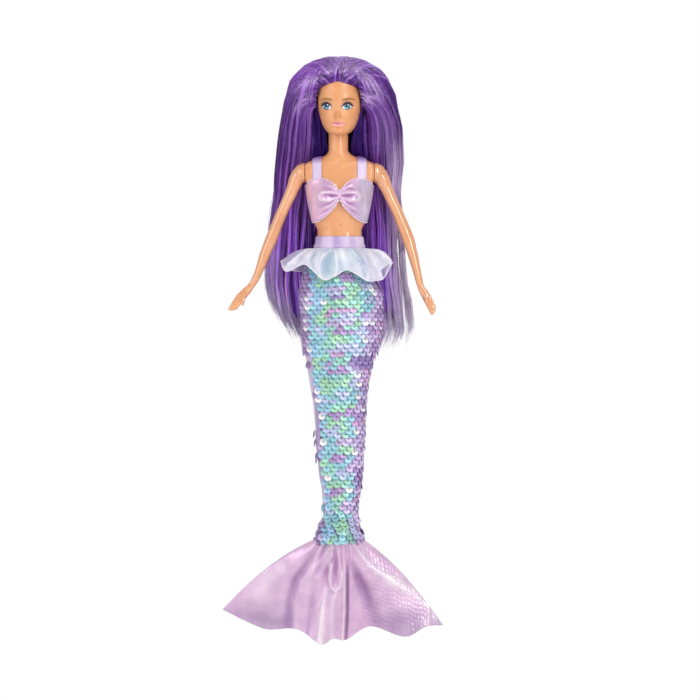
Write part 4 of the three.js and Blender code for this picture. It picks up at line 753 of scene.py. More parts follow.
def make_paint():
    """Printed eyes, brows and lips"""
    eye_x, eye_z, aside = 6.4, 80.1, -0.75
    lid, lip_z = eye_z + 2.1, EYE_Z - 11.0
    turn = TAU * np.arange(40) / 40
    x = np.cos(turn)
    over = np.sin(turn) > 0
    sides = (1, -1)

    def almond(side, wide, tall, drop=0.0):
        """Eye shape: arcs above and below, its outer corner raised"""
        arc = np.sqrt(np.clip(1 - x * x, 0, 1))
        z = np.where(over, tall * 0.56 * arc**0.9, -tall * 0.44 * arc) + 0.16 * x * tall * 0.5
        edge = np.stack([side * (eye_x + wide / 2 * x) + aside, eye_z + z - drop], 1)
        return (side * eye_x + aside, eye_z), edge

    def disc(at, z, radius, top):
        """Circle cut off straight at its top, where the lid covers it"""
        at = at + aside
        edge = np.stack([at + radius * np.cos(turn), z + radius * np.sin(turn)], 1)
        edge[:, 1] = np.minimum(edge[:, 1], top)
        return (at, z - 0.2), edge

    shade = paint_material("paint_shadow", "#c48a6c", 0.4)
    dark = paint_material("paint_liner", "#2c1a1c", 0.3)
    decal("eye_shadow", [almond(s, 7.6, 6.2, -0.45) for s in sides], shade, 0.03)
    decal("eye_white", [almond(s, 6.0, 4.1) for s in sides], paint_material("paint_white", "#eef2f6"), 0.06)
    for name, right, up, radius, top, paint, lift in (
        ("eye_rim", 0, 0.15, 1.82, lid, paint_material("paint_navy", "#12334d"), 0.09),
        ("eye_iris", 0, 0.1, 1.55, lid - 0.1, paint_material("paint_teal", "#2b7fa3", spread=0.25), 0.11),
        ("eye_glow", 0, -0.6, 0.78, eye_z - 0.15, paint_material("paint_aqua", "#79cfe2", spread=0.2), 0.125),
        ("eye_pupil", 0, 0.45, 1.0, lid, paint_material("paint_black", "#0c0b12"), 0.14),
        ("eye_glint", 0.6, 0.95, 0.36, lid, paint_material("paint_glint", "#ffffff", 0.2, 0.0), 0.16),
    ):
        decal(name, [disc(s * eye_x + right, eye_z + up, radius, top) for s in sides], paint, lift)
    upper_lid = [(-3.0, -0.5), (-1.8, 1.4), (0, 2.2), (1.8, 1.75), (3.0, 0.6), (3.9, 0.8)]
    lower_lid = [(-2.4, -1.15), (0, -1.85), (2.8, -0.2)]
    brow = [(2.9, 83.9), (5.0, 84.55), (7.6, 84.9), (9.4, 84.45), (10.7, 83.7)]
    liner, brows = [], []
    for s in sides:
        for rim, wide in ((upper_lid, [0.35, 1.0, 1.4, 1.4, 1.1, 0.15]), (lower_lid, [0.05, 0.2, 0.34])):
            liner.append(([(s * (eye_x + right), eye_z + up) for right, up in rim], wide))
        for right, slant in ((0.2, 0.2), (0.9, 0.5), (1.6, 0.8), (2.2, 1.0), (2.8, 1.1)):
            a, b = s * (eye_x + right), eye_z + 2.4 - 0.14 * right * right
            lash = [(a, b), (a + s * 0.35 * slant, b + 0.45), (a + s * slant, b + 0.8)]
            liner.append((lash, [0.26, 0.14, 0.03]))
        away = s * 0.5 if s < 0 else 0
        brows.append(([(s * a + away, b) for a, b in brow], [0.8, 1.35, 1.2, 0.85, 0.2]))
        for k in np.linspace(0, 0.85, 7):
            a = k * 7.8 + 2.9
            b = float(np.interp(a, *np.transpose(brow)))
            hair = [(a, b - 0.35), (a + 0.5, b + 0.1), (a + 1.3, b + 0.38)]
            brows.append(([(s * p + away, q) for p, q in hair], [0.25, 0.4, 0.05]))
    strip("lashes", [([(a + aside, b) for a, b in line], wide) for line, wide in liner], dark, 0.14)
    strip("brows", brows, paint_material("paint_brow", "#a8733c", 0.45), 0.13)
    bow = 1.15 - 0.42 * bell(x, 0.16) - 0.75 * np.abs(x) ** 2.2
    upper = np.where(over, lip_z + 0.1 + 1.15 * bow * np.clip(1 - np.abs(x), 0, 1) ** 0.35, lip_z)
    lower = np.where(over, lip_z + 0.05, lip_z - 1.95 * np.clip(1 - x * x, 0, 1) ** 0.75)
    rose, blush = paint_material("paint_lip", "#ea8d90"), paint_material("paint_lip_low", "#fcb0b4", 0.22)
    decal("lip_upper", [((0, lip_z + 0.35), np.stack([4.2 * x, upper], 1))], rose, 0.05)
    decal("lip_lower", [((0, lip_z - 0.75), np.stack([3.8 * x, lower], 1))], blush, 0.05)
    between = [(-4.1, lip_z), (-1.5, lip_z - 0.05), (0, lip_z + 0.07), (1.5, lip_z - 0.05), (4.1, lip_z)]
    wine = paint_material("paint_lip_line", "#b9625f")
    strip("lip_line", [(between, [0.08, 0.2, 0.24, 0.2, 0.08])], wine, 0.08)


# Arms and legs

# Middle line of an arm: out from the seam, down from the shoulder, y, and half the thickness
RIGHT_ARM = [
    (2.4, -1, 0, 3.2), (3.3, 0.5, 0, 4.6), (5, 3.7, 0, 4.6), (8.2, 11.8, 0, 3.8), (11.6, 19.2, 0.2, 3.5),
    (15, 26.7, 0.4, 3.5), (20.9, 41.6, 0.3, 3.75), (24, 49, -0.2, 3.4), (29.6, 63.9, -1.6, 2.4),
    (33, 69.8, -2.2, 2.1), (36.8, 74.2, -2.8, 2.7), (40.4, 77.9, -3.4, 2.8),
]
LEFT_ARM = [
    (2.4, -1, 0, 3.2), (3.2, 0.5, 0, 4.6), (4.8, 3.7, 0, 4.6), (8.5, 11.8, 0, 3.7),
    (11.9, 19.2, 0.2, 3.5), (15.3, 26.7, 0.4, 3.5), (21.2, 41.6, 0.3, 3.75), (23.4, 49, -0.2, 3.2),
    (27.1, 63.9, -1.6, 2.4), (28.9, 70.9, -2.2, 2.1), (30.9, 74.4, -2.8, 2.6), (32.7, 77.6, -3.4, 2.7),
]


def limb(points, halves, flats, count, sides=28):
    """Round-sectioned limb along points, with a half thickness and a flatness at each"""
    path = spline(points, count)
    place = np.linspace(0, len(points) - 1, count)
    k = np.minimum(place.astype(int), len(points) - 2)
    ease = smooth(place - k)
    half = np.asarray(halves)[k] * (1 - ease) + np.asarray(halves)[k + 1] * ease
    flat = np.asarray(flats)[k] * (1 - ease) + np.asarray(flats)[k + 1] * ease
    along = np.gradient(path, axis=0)
    along /= np.linalg.norm(along, axis=1, keepdims=True)
    depth = np.array([0.0, 1, 0]) - along * along[:, 1:2]
    depth /= np.linalg.norm(depth, axis=1, keepdims=True)
    side = np.cross(along, depth)
    turn = TAU * np.arange(sides) / sides
    ring = (
        path[:, None]
        + side[:, None] * (np.cos(turn)[None, :, None] * half[:, None, None])
        + depth[:, None] * (np.sin(turn)[None, :, None] * (half * flat)[:, None, None])
    )
    return lofted(ring)


def vertices(mesh):
    """Places of a mesh's vertices, in metres"""
    places = np.empty(len(mesh.vertices) * 3, np.float32)
    mesh.vertices.foreach_get("co", places)
    return places.reshape(-1, 3)


def make_arm(name, node, rows, tips, thumb, side):
    """Arm: cap, limb and fingers, melted into one skin and cut flat at the shoulder seam"""
    seam = side * (SEAM_X + 0.16)
    round_cap, finger, thumb_size = 6.2, [1.0, 0.84, 0.74, 0.34], [1.4, 1.05, 0.8, 0.34]

    def place(out, drop, y):
        """Point out from the seam and down from the shoulder"""
        return np.array([side * (SEAM_X + out), y, SHOULDER_Z - drop])

    points = np.array([place(*row[:3]) for row in rows])
    flats = np.ones(len(rows))
    flats[-3:] = 0.72
    u = np.linspace(0.01, math.pi - 0.01, 30)[:, None]
    v = TAU * np.arange(40) / 40
    level, upright = round_cap * np.sin(u) * np.cos(v), SHOULDER_Z + round_cap * np.sin(u) * np.sin(v)
    cap = np.stack([seam + 7 * np.cos(u) + 0 * v, level, upright], -1)
    parts = [lofted(cap), limb(points, [row[3] for row in rows], flats, count=120)]
    knuckle, wrist = points[-1], points[-2]
    reach = place(*tips) - knuckle
    across = np.array([-reach[2], 0, reach[0]])
    across /= np.linalg.norm(across)
    for i, share in enumerate((1.0, 0.98, 0.9, 0.74)):
        offset = (i - 1.5) * 1.2
        root = knuckle + across * offset - reach * 0.14
        tip = root + reach * (share + 0.14) + across * offset * 0.05
        bend = (root + tip) / 2 - np.array([0, 0.55, 0])
        last = root + (tip - root) * 0.93 + np.array([0, -0.1, 0])
        parts.append(limb([root, bend, last, tip], finger, [1] * 4, count=30, sides=16))
    end = place(*thumb)
    middle = (wrist + end) / 2 - np.array([0, 0.6, 0])
    last = wrist + (end - wrist) * 0.94
    parts.append(limb([wrist, middle, last, end], thumb_size, [1] * 4, count=30, sides=16))
    arm = make(name, *joined(parts), ARM_SKIN)
    melt = arm.modifiers.new("melt", "REMESH")
    melt.mode = "VOXEL"
    melt.voxel_size = 0.23 * MM
    even = arm.modifiers.new("even", "SMOOTH")
    even.factor = 0.6
    even.iterations = 16
    bpy.context.view_layer.update()
    made = bpy.data.meshes.new_from_object(arm.evaluated_get(bpy.context.evaluated_depsgraph_get()))
    arm.modifiers.clear()
    arm.data = made
    places = vertices(made)
    places[places[:, 0] * side < seam * side * MM, 0] = seam * MM
    made.vertices.foreach_set("co", places.ravel())
    made.shade_smooth()
    if not made.materials:
        made.materials.append(ARM_SKIN)
    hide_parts(node)
    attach(arm, node)


def make_leg(name, node):
    """Leg as the CAD has it, a little slimmer where the sleeve folds over it when the doll sits"""
    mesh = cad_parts[node].data.copy()
    mesh.name = name
    x, y, z = vertices(mesh).T / MM
    y = y + 2.8 * bell(z + 42, 15) * (smooth(-y, 1, 8) - smooth(y, 1, 8))
    mesh.vertices.foreach_set("co", (np.stack([x, y, z], 1) * MM).astype(np.float32).ravel())
    mesh.materials.clear()
    mesh.materials.append(SKIN)
    leg = bpy.data.objects.new(name, mesh)
    bpy.context.scene.collection.objects.link(leg)
    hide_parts(node)
    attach(leg, "tail")


make_torso()
make_leg("leg_left_skin", "leg_left")
make_leg("leg_right_skin", "leg_right")
make_head()
make_paint()
make_arm("arm_left_skin", "arm_left", LEFT_ARM, (37.6, 87.4, -5), (33.2, 82.4, -6.2), 1)
make_arm("arm_right_skin", "arm_right", RIGHT_ARM, (45.6, 86, -5), (38.6, 82.4, -5.8), -1)

# Bodice

KNOT_Z = 26.3


def cloth_point(z, angle, grow):
    """Point of cloth over the chest, grow mm off the skin"""
    return chest(outline(FIGURE, z, angle, grow))


# Folds of a cup, from the doll's middle outwards: the loop by the knot, the crease in it, the folds
# above and below, and the hollows beside them
CUP_FOLDS = [
    [(0.6, 26, 0.3, 0.6), (4.6, 27.3, 1.1, 0.8), (10, 26.9, 1.1, 0.9), (12.6, 24.6, 0.8, 0.9),
     (11.4, 22.2, 0.8, 0.9), (6, 21.9, 1.1, 0.8), (1.2, 23.8, 0.5, 0.6)],
    [(1, 25.0, -0.3, 0.5), (4.5, 24.9, -1.5, 0.85), (8.6, 25.2, -0.9, 1.1), (10.5, 24.8, -0.2, 1)],
    [(1.2, 27.6, 0.3, 0.5), (4, 30.0, 0.8, 0.8), (7.5, 32.4, 0.3, 0.9)],
    [(1.6, 28.4, -0.2, 0.5), (5.2, 29.2, -0.7, 0.8), (9, 29.8, -0.2, 1)],
    [(1.2, 23.2, 0.4, 0.5), (3.4, 20.4, 0.8, 0.8), (7, 17.8, 0.7, 0.9), (11, 15.6, 0.2, 1)],
    [(3, 22.2, -0.3, 0.6), (6, 19.9, -0.9, 0.9), (10, 18.4, -0.4, 1.1)],
    [(5.2, 17.4, -0.3, 0.6), (8, 15.4, -0.7, 0.9), (12, 13.2, -0.2, 1)],
    [(13.5, 31, 0.2, 1), (15, 24, 0.4, 1.1), (15.5, 15, 0.2, 1)],
]


def knit_tint_with_painted_light(fold, outer, far):
    """Tint of the metallic knit: a painted highlight on folds, painted shade in creases, and another tone far
    from the knot
    """
    near, far, pale, painted_shade = tones("#e6bde0", far, "#ffeefa", "#a47eb0")
    tint = toward(toward(near, far, outer), pale, np.clip(fold / 1.2, 0, 0.8))
    return toward(tint, painted_shade, np.clip(-fold / 1.3, 0, 0.8))


def make_cup(name, node, side):
    """Half of the top, between its heart-shaped upper edge and its rounded hem, with folds that
    run out from the knot: a painted highlight on them, and painted shade in their creases and along both
    edges"""
    u = np.linspace(0, 1, 110)
    v = np.linspace(0, 1, 90)[:, None]
    inner, wide = 0.5, 21.5
    x = inner + wide * u
    tops = [
        (0.5, 28.4), (2, 30.0), (4.7, 33.3), (7.5, 35.0), (10.7, 35.7), (15, 35.1), (18.8, 33.9), (21, 31.8),
        (22, 31),
    ]
    hems = [(0.5, 22.6), (1.2, 20.6), (2.7, 18), (6.5, 14.4), (11.3, 11.2), (16.5, 9.2), (19, 8.7), (22, 8.7)]
    top, hem = (np.interp(x, *np.transpose(line)) for line in (tops, hems))
    for line in (top, hem) * 3:
        line[1:-1] = (line[:-2] + line[1:-1] * 2 + line[2:]) / 4
    z = hem + (top - hem) * v
    half, power = curve(FIGURE, 1, z), curve(FIGURE, 5, z)
    share = np.minimum(x, inner + (half - inner) * u**0.9) / half
    angle = -np.arccos(np.clip(share, 0, 1) ** (power / 2))
    flat_x = share * half
    fold = along_lines(flat_x, z, CUP_FOLDS)
    wave = 0.2 * np.sin(flat_x * 0.9 + 0.35 * z) * smooth(flat_x, 9, 15)
    bridge = 1.2 * bell(flat_x, 3.2)
    points = cloth_point(z, angle, 1.0)
    points[..., 1] -= fold + wave * 0.6 + bridge
    points[..., 0] *= side
    far = "#f3c6dc" if side < 0 else "#d8cfe4"
    # Painted light: highlight on the folds, shade in their creases and in a thin band along the upper edge
    # and the hem
    tint = knit_tint_with_painted_light(fold - 1.1 * smooth(np.abs(v - 0.5), 0.455, 0.49), smooth(flat_x, 7, 15), far)
    cup = open_sheet(name, points, PINK, tint)
    face_way(cup, "y", -1)
    thicken(cup, 0.3, 1)
    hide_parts(node)
    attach(cup, "torso")
    beads(f"{name}_picot", points[[0, -1]] - np.array([0, 0.4, 0]), 0.5, 1.7, PICOT)


def beads(name, lines, radius, pitch, finish):
    """Knotted thread along lines (n, k, 3): a thin cord that swells once every pitch"""
    parts, steps_per_knot = [], 6
    for line in lines:
        length = np.linalg.norm(np.diff(line, axis=0), axis=1).sum()
        count = int(length / pitch * steps_per_knot)
        old, new = np.linspace(0, 1, len(line)), np.linspace(0, 1, count)
        path = np.stack([np.interp(new, old, line[:, i]) for i in range(3)], 1)[None]
        swell = radius * (0.6 + 0.5 * np.sin(TAU * np.arange(count) / steps_per_knot))[None]
        parts.append(tubes(path, np.tile(np.array([0.0, -1, 0.2]), (1, count, 1)), swell, swell, sides=6))
    item = make(name, *joined(parts), finish)
    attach(item, "torso")


def make_knot():
    """Gathered knot: a small upright barrel pinched into pleats, its cloth fanning to both cups"""
    t = np.linspace(-1, 1, 60)[:, None]
    a = TAU * np.arange(96) / 96
    swell = np.sqrt(np.clip(1 - t * t, 0.03, 1))
    pleat = 1 + 0.13 * np.cos(7 * a) * smooth(1 - np.abs(t), 0.02, 0.4)
    waist = 1 - 0.18 * bell(t, 0.35)
    x = 1.25 * swell * waist * pleat * np.cos(a)
    y = -14.3 + 1.4 * swell * waist * pleat * np.sin(a)
    z = KNOT_Z - 0.6 + 2.9 * t + 0 * a
    points, faces = lofted(np.stack([x, y, z], -1))
    flat = 0 * points[:, 0]
    # Painted highlight: the whole knot gets the paleness of a fold
    knot = make("knot", points, faces, PINK, tint=knit_tint_with_painted_light(flat + 0.5, flat, "#dfb4d8"))
    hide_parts("bodice_knot")
    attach(knot, "torso")


def make_back_band():
    """Back of the top: a shallowly creased band from seam to seam with hemmed edges, its creases painted
    lighter and darker as painted highlight and painted shade
    """
    a = np.linspace(0.01, math.pi - 0.01, 130)
    v = np.linspace(0, 1, 60)[:, None]
    z = np.linspace(11, 30, 60)[:, None] + 0.6 * np.sin(2 * a)
    crease = 0.16 * np.sin(9 * a + 0.5 * z) * np.sin(math.pi * v)
    points = outline(FIGURE, z, a, 0.85)
    points[..., 1] += crease
    # Painted highlight and shade on the creases
    band = open_sheet("back_band", points, PINK, knit_tint_with_painted_light(crease * 3, 0 * crease, "#dfb4d8"))
    face_way(band, "y", 1)
    thicken(band, 0.4, 1)
    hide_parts("bodice_back")
    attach(band, "torso")
    beads("back_band_picot", points[[0, -1]] + np.array([0, 0.2, 0]), 0.24, 1.15, PICOT)


def ridge(x):
    """Height of the shoulder's ridge at x"""
    low, high = np.full(x.shape, 42.0), np.full(x.shape, 54.0)
    for _ in range(30):
        middle = (low + high) / 2
        wide = curve(FIGURE, 1, middle) > x
        low, high = np.where(wide, middle, low), np.where(wide, high, middle)
    return low


def make_strap(name, node, side):
    """Satin strap from the cup over the shoulder to the back band, crowned across its width"""
    middle, half_width = 14, 2.9
    x = np.linspace(middle - half_width, middle + half_width, 17)
    share = np.linspace(-1, 1, 90)[:, None]
    top = ridge(x) + 0 * share
    z = top - (top - np.where(share < 0, 33.6, 29.0)) * share**2
    half, y0, front, back, power = (curve(FIGURE, i, z) for i in range(1, 6))
    across = np.clip(x / half, 0, 1) ** power
    deep = (1 - across) ** (1 / power) * np.where(share < 0, front, back)
    points = np.stack([x + 0 * z, y0 + np.sign(share) * deep, z], -1)
    points = np.where((share < 0)[..., None], chest(points.copy()), points)
    along = np.gradient(points, axis=0)
    along[..., 0] = 0
    along /= np.linalg.norm(along, axis=2, keepdims=True)
    lift = 0.75 + 0.3 * np.sqrt(np.clip(1 - ((x - middle) / 3.0) ** 2, 0, 1))
    lift = lift + 0.12 * np.sin(9 * share + x)
    points[..., 1] -= along[..., 2] * lift
    points[..., 2] += along[..., 1] * lift
    points[..., 0] *= side
    strap = open_sheet(name, points, STRAP)
    face_way(strap, "z", 1)
    thicken(strap, 0.35, -1)
    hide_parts(node)
    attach(strap, "torso")


# Tail

# Height of the waist seam, how far the sleeve stands off the slack legs, and the steps from sequin to
# sequin and from row to row
SEAM_Z = -8.3
CLOTH_OFF = 0.55
SEQUIN_PITCH, ROW_PITCH = 4.5, 2.65


def make_waistband():
    """Satin band round the waist: the figure's outline, grown by a bulge that is rounded over the
    edges of the band and faintly puckered by its elastic"""
    rows, columns = 26, 200
    a = TAU * np.arange(columns) / columns
    t = np.linspace(-1, 1, rows)[:, None]
    z = -4 + 4.1 * t
    bulge = 0.55 + 0.75 * np.sqrt(np.clip(1 - t**4, 0, 1)) + 0.1 * np.sin(31 * a) * np.abs(t)
    outer = outline(FIGURE, z, a, bulge)
    inner = outline(FIGURE, z[::-1], a, 0.4)
    rings = np.concatenate([outer, inner])
    faces = np.concatenate([quads(2 * rows, columns), quads(2, columns)])
    last = faces[-columns:]
    last[:, 2:] += (2 * rows - 2) * columns
    faces[-columns:] = last[:, ::-1]
    band = make("waistband_satin", rings.reshape(-1, 3), faces, SATIN)
    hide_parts("waistband")
    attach(band, "torso")
    line = outline(FIGURE, -5.9, np.linspace(0, TAU, 160), 1.45)[None]
    beads("waist_stitches", line, 0.3, 2.0, PICOT)


def lean(z):
    """How far the sleeve's middle stands to the doll's left of the legs, in mm"""
    return 2.0 * bell(z + 52, 20) - 0.7 * bell(z + 88, 14) + 0.5 * bell(z + 155, 20)


def sleeve_point(z, angle, grow):
    """Point of the sleeve's cloth: the legs' outline, slack cloth, and gathers at both ends"""
    gathers = 0.25 * np.sin(15 * angle + 1) * smooth(-z, 168, 184)
    gathers = gathers + 0.35 * np.sin(19 * angle) * smooth(z, -26, -12)
    points = outline(FIGURE, z, angle, curve(FIGURE, 6, z) + grow + gathers)
    points[..., 0] += lean(z)
    return points


def make_sleeve():
    """Satin sleeve over both legs, open at the waist and at the ankles. Its front, where the sequins
    lie on it, has a darker ground, painted shade between the discs."""
    rows, columns = 260, 120
    a = TAU * np.arange(columns) / columns
    z = np.linspace(SEAM_Z, TOE_Z - 4, rows)[:, None]
    crease = 0.22 * np.sin(0.33 * z + 2 * np.sin(a)) * smooth(-z, 90, 130)
    points = sleeve_point(z, a, CLOTH_OFF + crease)
    sleeve = open_sheet("sleeve", points, SATIN, wrap=True)
    sleeve.data.materials.append(SHADED_GROUND)
    # Painted shade: the faces under the sequins take the darker ground
    front = (a + (a[1] - a[0]) / 2) > math.pi * 1.02
    under = np.zeros((rows - 1, columns), bool) | front
    under &= (z[1:] < -11) & ((np.arange(columns) > columns * 0.60) | (z[1:] > -70))
    sleeve.data.polygons.foreach_set("material_index", under.ravel().astype(np.int32))
    middle = points[..., 0].mean() * MM
    if sum(face.normal.x * (face.center.x - middle) for face in sleeve.data.polygons) < 0:
        sleeve.data.flip_normals()
    thicken(sleeve, 0.3, -1)
    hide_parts("tail_sleeve")
    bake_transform(sleeve)


def sequin_places():
    """Centres, outward normals and share of the way across of each sequin of the front panel. Each
    row lies along the sleeve's outline at one height, at even steps of its length and half a step
    on in every second row, with a little scatter and a slight wave."""
    found = []
    z = -11.0
    row = 0
    while z > TOE_Z - 5.5:
        angle = np.linspace(-math.pi * 0.985, 0.1, 400)
        line = sleeve_point(np.full(400, z), angle, CLOTH_OFF)
        length = np.concatenate([[0], np.cumsum(np.linalg.norm(np.diff(line, axis=0), axis=1))])
        first = 0.5 + (SEQUIN_PITCH / 2 if row % 2 else 0) + rng.uniform(-0.3, 0.3)
        places = np.arange(first, length[-1], SEQUIN_PITCH)
        places = places + rng.normal(0, 0.14, len(places))
        a = np.interp(places, length, angle)
        heights = z + rng.normal(0, 0.16, len(a)) + 0.5 * np.sin(2.2 * a + 0.05 * z)
        here = sleeve_point(heights, a, CLOTH_OFF)
        ahead = sleeve_point(heights, a + 0.02, CLOTH_OFF) - here
        below = sleeve_point(heights - 0.5, a, CLOTH_OFF) - here
        normal = np.cross(below, ahead)
        normal /= np.linalg.norm(normal, axis=1, keepdims=True)
        normal *= np.sign((normal * (here - np.array([0, 0, 1]) * here[:, 2:3])).sum(1, keepdims=True))
        half = curve(FIGURE, 1, heights) + curve(FIGURE, 6, heights)
        share = (here[:, 0] - lean(heights)) / half
        keep = ~((share < -0.8) & (heights < -72) & (heights > -178) & (rng.random(len(a)) < 0.85))
        found.append(np.column_stack([here, normal, share])[keep])
        z -= ROW_PITCH
        row += 1
    return np.concatenate(found)


SEQUIN_TONES = dict(
    mint="#9adcc6", leaf="#a2deb0", aqua="#8fd0dc", sky="#98c8ea", pale="#bcc6ea", lilac="#cbb5e2",
    plum="#ac86c4", rose="#cf9fd0", deep="#8a6fb2", white="#ffffff",
)
# Rows that have been stroked over: height, half its extent, from and to across, and the tone
SEQUIN_BANDS = [
    (-25, 2.6, 1, 10, "plum"), (-32, 1.4, -3, 2, "lilac"), (-38, 1.4, -9, 5.5, "deep"),
    (-46.5, 1.7, -9, 10, "rose"), (-50, 1.4, -7, 17, "pale"), (-54, 1.2, -9, 10, "lilac"),
    (-59, 2.1, -6, 9, "plum"), (-69.5, 3.4, -7, 16, "pale"), (-72, 1.2, -4, 1, "rose"),
    (-76, 3.6, 6, 20, "deep"), (-77.5, 1.4, -9, -4, "plum"), (-83, 2.6, -6, 4, "plum"),
    (-97, 1.6, 0, 8, "pale"), (-100, 1.6, -9, -3, "pale"), (-110, 2.4, -5, 13, "plum"),
    (-118, 1.5, -8, 2, "pale"), (-127, 2.2, -2, 12, "lilac"), (-137, 1.6, -7, 3, "plum"),
    (-147, 2.0, 0, 10, "pale"), (-158, 1.7, -8, 2, "plum"), (-168, 3.0, 0, 9, "lilac"),
    (-181, 3.0, -9, -2, "sky"),
]
# Discs painted white as painted highlights, at x, z
SEQUIN_PAINTED_GLINTS = [
    (-20, -37), (-18.5, -42.5), (-10.5, -39.5), (-19.5, -50.5), (-18.7, -56), (-18.4, -70.5), (19.4, -34),
    (18.2, -31.5), (15.4, -54), (19.2, -53.5), (11.5, -85.5), (10.8, -90), (10.3, -99.5), (-13.5, -94),
    (-11.5, -102), (17, -63.5), (-12, -112), (9, -120), (-10, -126), (10.5, -134), (-9, -149),
    (7.5, -156), (-8, -170), (13.5, -106),
]


def sequin_tints(places):
    """Film colours: mint and aqua down the middle, sky blue on the doll's right, lilac at the sides
    and where rows have been stroked over, and a few painted white as painted highlights"""
    x, z, share = places[:, 0], places[:, 2], places[:, 6]
    film = dict(zip(SEQUIN_TONES, tones(*SEQUIN_TONES.values())))
    n = len(places)
    f = share + 0.1 * np.sin(z * 0.21) + 0.07 * np.sin(z * 0.083 + 1) + rng.normal(0, 0.05, n)
    patch = np.sin(0.31 * x + 0.13 * z + 1) + np.sin(0.19 * x - 0.27 * z) + 0.6 * np.sin(0.5 * z + 0.1 * x)
    pick = (0.5 + 0.2 * patch + rng.normal(0, 0.13, n)).clip(0, 1)
    tint = np.tile(film["mint"], (n, 1))

    def paint(where, key):
        """Gives the chosen sequins a film colour"""
        tint[where] = film[key]

    paint(pick < 0.3, "leaf")
    paint((pick > 0.62) | ((np.abs(f) > 0.45) & (pick > 0.35)), "aqua")
    paint((pick > 0.86) & (np.abs(f) < 0.6), "pale")
    paint((f < -0.62) & (pick < 0.55), "sky")
    paint((f > 0.5) & (pick < 0.5), "pale")
    paint((f > 0.66) | (f < -0.9), "lilac")
    paint(((f > 0.72) & (pick < 0.4)) | ((share < -0.8) & (pick < 0.6)), "plum")
    paint((f > 0.7) & (pick > 0.75), "rose")
    bend = 0.9 * np.sin(x * 0.22 + 0.8)
    for at, tall, low, high, key in SEQUIN_BANDS:
        stroked = (np.abs(z - at - bend) < tall) & (x > low) & (x < high) & (rng.random(n) < 0.94)
        paint(stroked & (places[:, 1] < 0), key)
    tint *= rng.uniform(0.88, 1.12, (n, 1)) * (1 + 0.3 * smooth(f, 0.45, 0.8))[:, None]
    # Painted highlights: the disc nearest each place on the front turns white
    for gx, gz in SEQUIN_PAINTED_GLINTS:
        near = np.hypot(x - gx, z - gz) + 100 * (places[:, 1] > 0)
        tint[np.argmin(near)] = film["white"]
    return tint.clip(0, 1)


def make_sequins():
    """Overlapping dished discs sewn through their middles, each row hanging over the one below,
    and the dots of thread that hold them. Each disc is painted darker on its upper part, as painted shade
    under the row above."""
    places = sequin_places()
    n, sides = len(places), 12
    centre, normal = places[:, :3], places[:, 3:6]
    tint = sequin_tints(places)
    down = np.array([0, 0, -1.0]) - normal * (-normal[:, 2:3])
    down /= np.linalg.norm(down, axis=1, keepdims=True)
    tilt = np.radians(12 + rng.normal(0, 2.6, n))
    odd = rng.random(n) < np.where(centre[:, 2] < TOE_Z + 2, 0.6, 0.07)
    tilt = (tilt + odd * np.radians(rng.uniform(-16, 16, n)))[:, None]
    yaw = np.radians(4 + rng.normal(0, 3, n)) + odd * np.radians(rng.uniform(-14, 14, n))
    yaw = yaw[:, None]
    level = np.cross(normal, down)
    tipped = normal * np.cos(tilt) - down * np.sin(tilt)
    hang = down * np.cos(tilt) + normal * np.sin(tilt)
    face = tipped * np.cos(yaw) + level * np.sin(yaw)
    across = level * np.cos(yaw) - tipped * np.sin(yaw)
    centre = centre + normal * 0.85
    turn = TAU * np.arange(sides) / sides

    def rounds(profile, angle):
        """Rings about every centre, from pairs of radius and rise, and their walls"""
        made = [
            centre[:, None]
            + across[:, None] * (radius * np.cos(angle))[None, :, None]
            + hang[:, None] * (radius * np.sin(angle))[None, :, None]
            + face[:, None] * rise
            for radius, rise in profile
        ]
        base = (np.arange(n) * len(profile) * len(angle))[:, None, None]
        return np.stack(made, 1), quads(len(profile), len(angle))[None] + base, base

    dish = [(0.38, -0.03), (1.6, -0.05), (2.45, 0.07)]
    points, walls, _ = rounds(dish, turn)
    # Painted shade: each disc darker on its upper part, under the edge of the row above
    low = np.array([radius for radius, _ in dish])[:, None] * np.sin(turn)
    shade = 0.7 + 0.3 * smooth(low, -0.3, 0.9)
    tints = tint[:, None, None] * shade[None, :, :, None]
    discs = make("sequin_panel", points, walls.reshape(-1, 4), SEQUIN, tint=tints, closed=False)
    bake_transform(discs)
    points, walls, base = rounds([(0.6, -0.2), (0.42, 0.0)], turn[::2])
    caps = (6 + np.arange(6))[None, None] + base
    faces = [walls.reshape(-1, 4), caps.reshape(-1, 6)]
    dots = make("sequin_threads", points, faces, DARK_THREAD, closed=False)
    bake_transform(dots)


# Fin

# Hem of the fin as seen from the front: points x, z
FIN_HEM = [
    (-72.4, -231.1), (-58, -238.6), (-45.7, -243.5), (-25.9, -243.5), (-10.6, -252.7), (-4.2, -249.4),
    (3.2, -250.4), (18.5, -241.8), (41.3, -247.9), (54, -241.6), (64, -241),
]
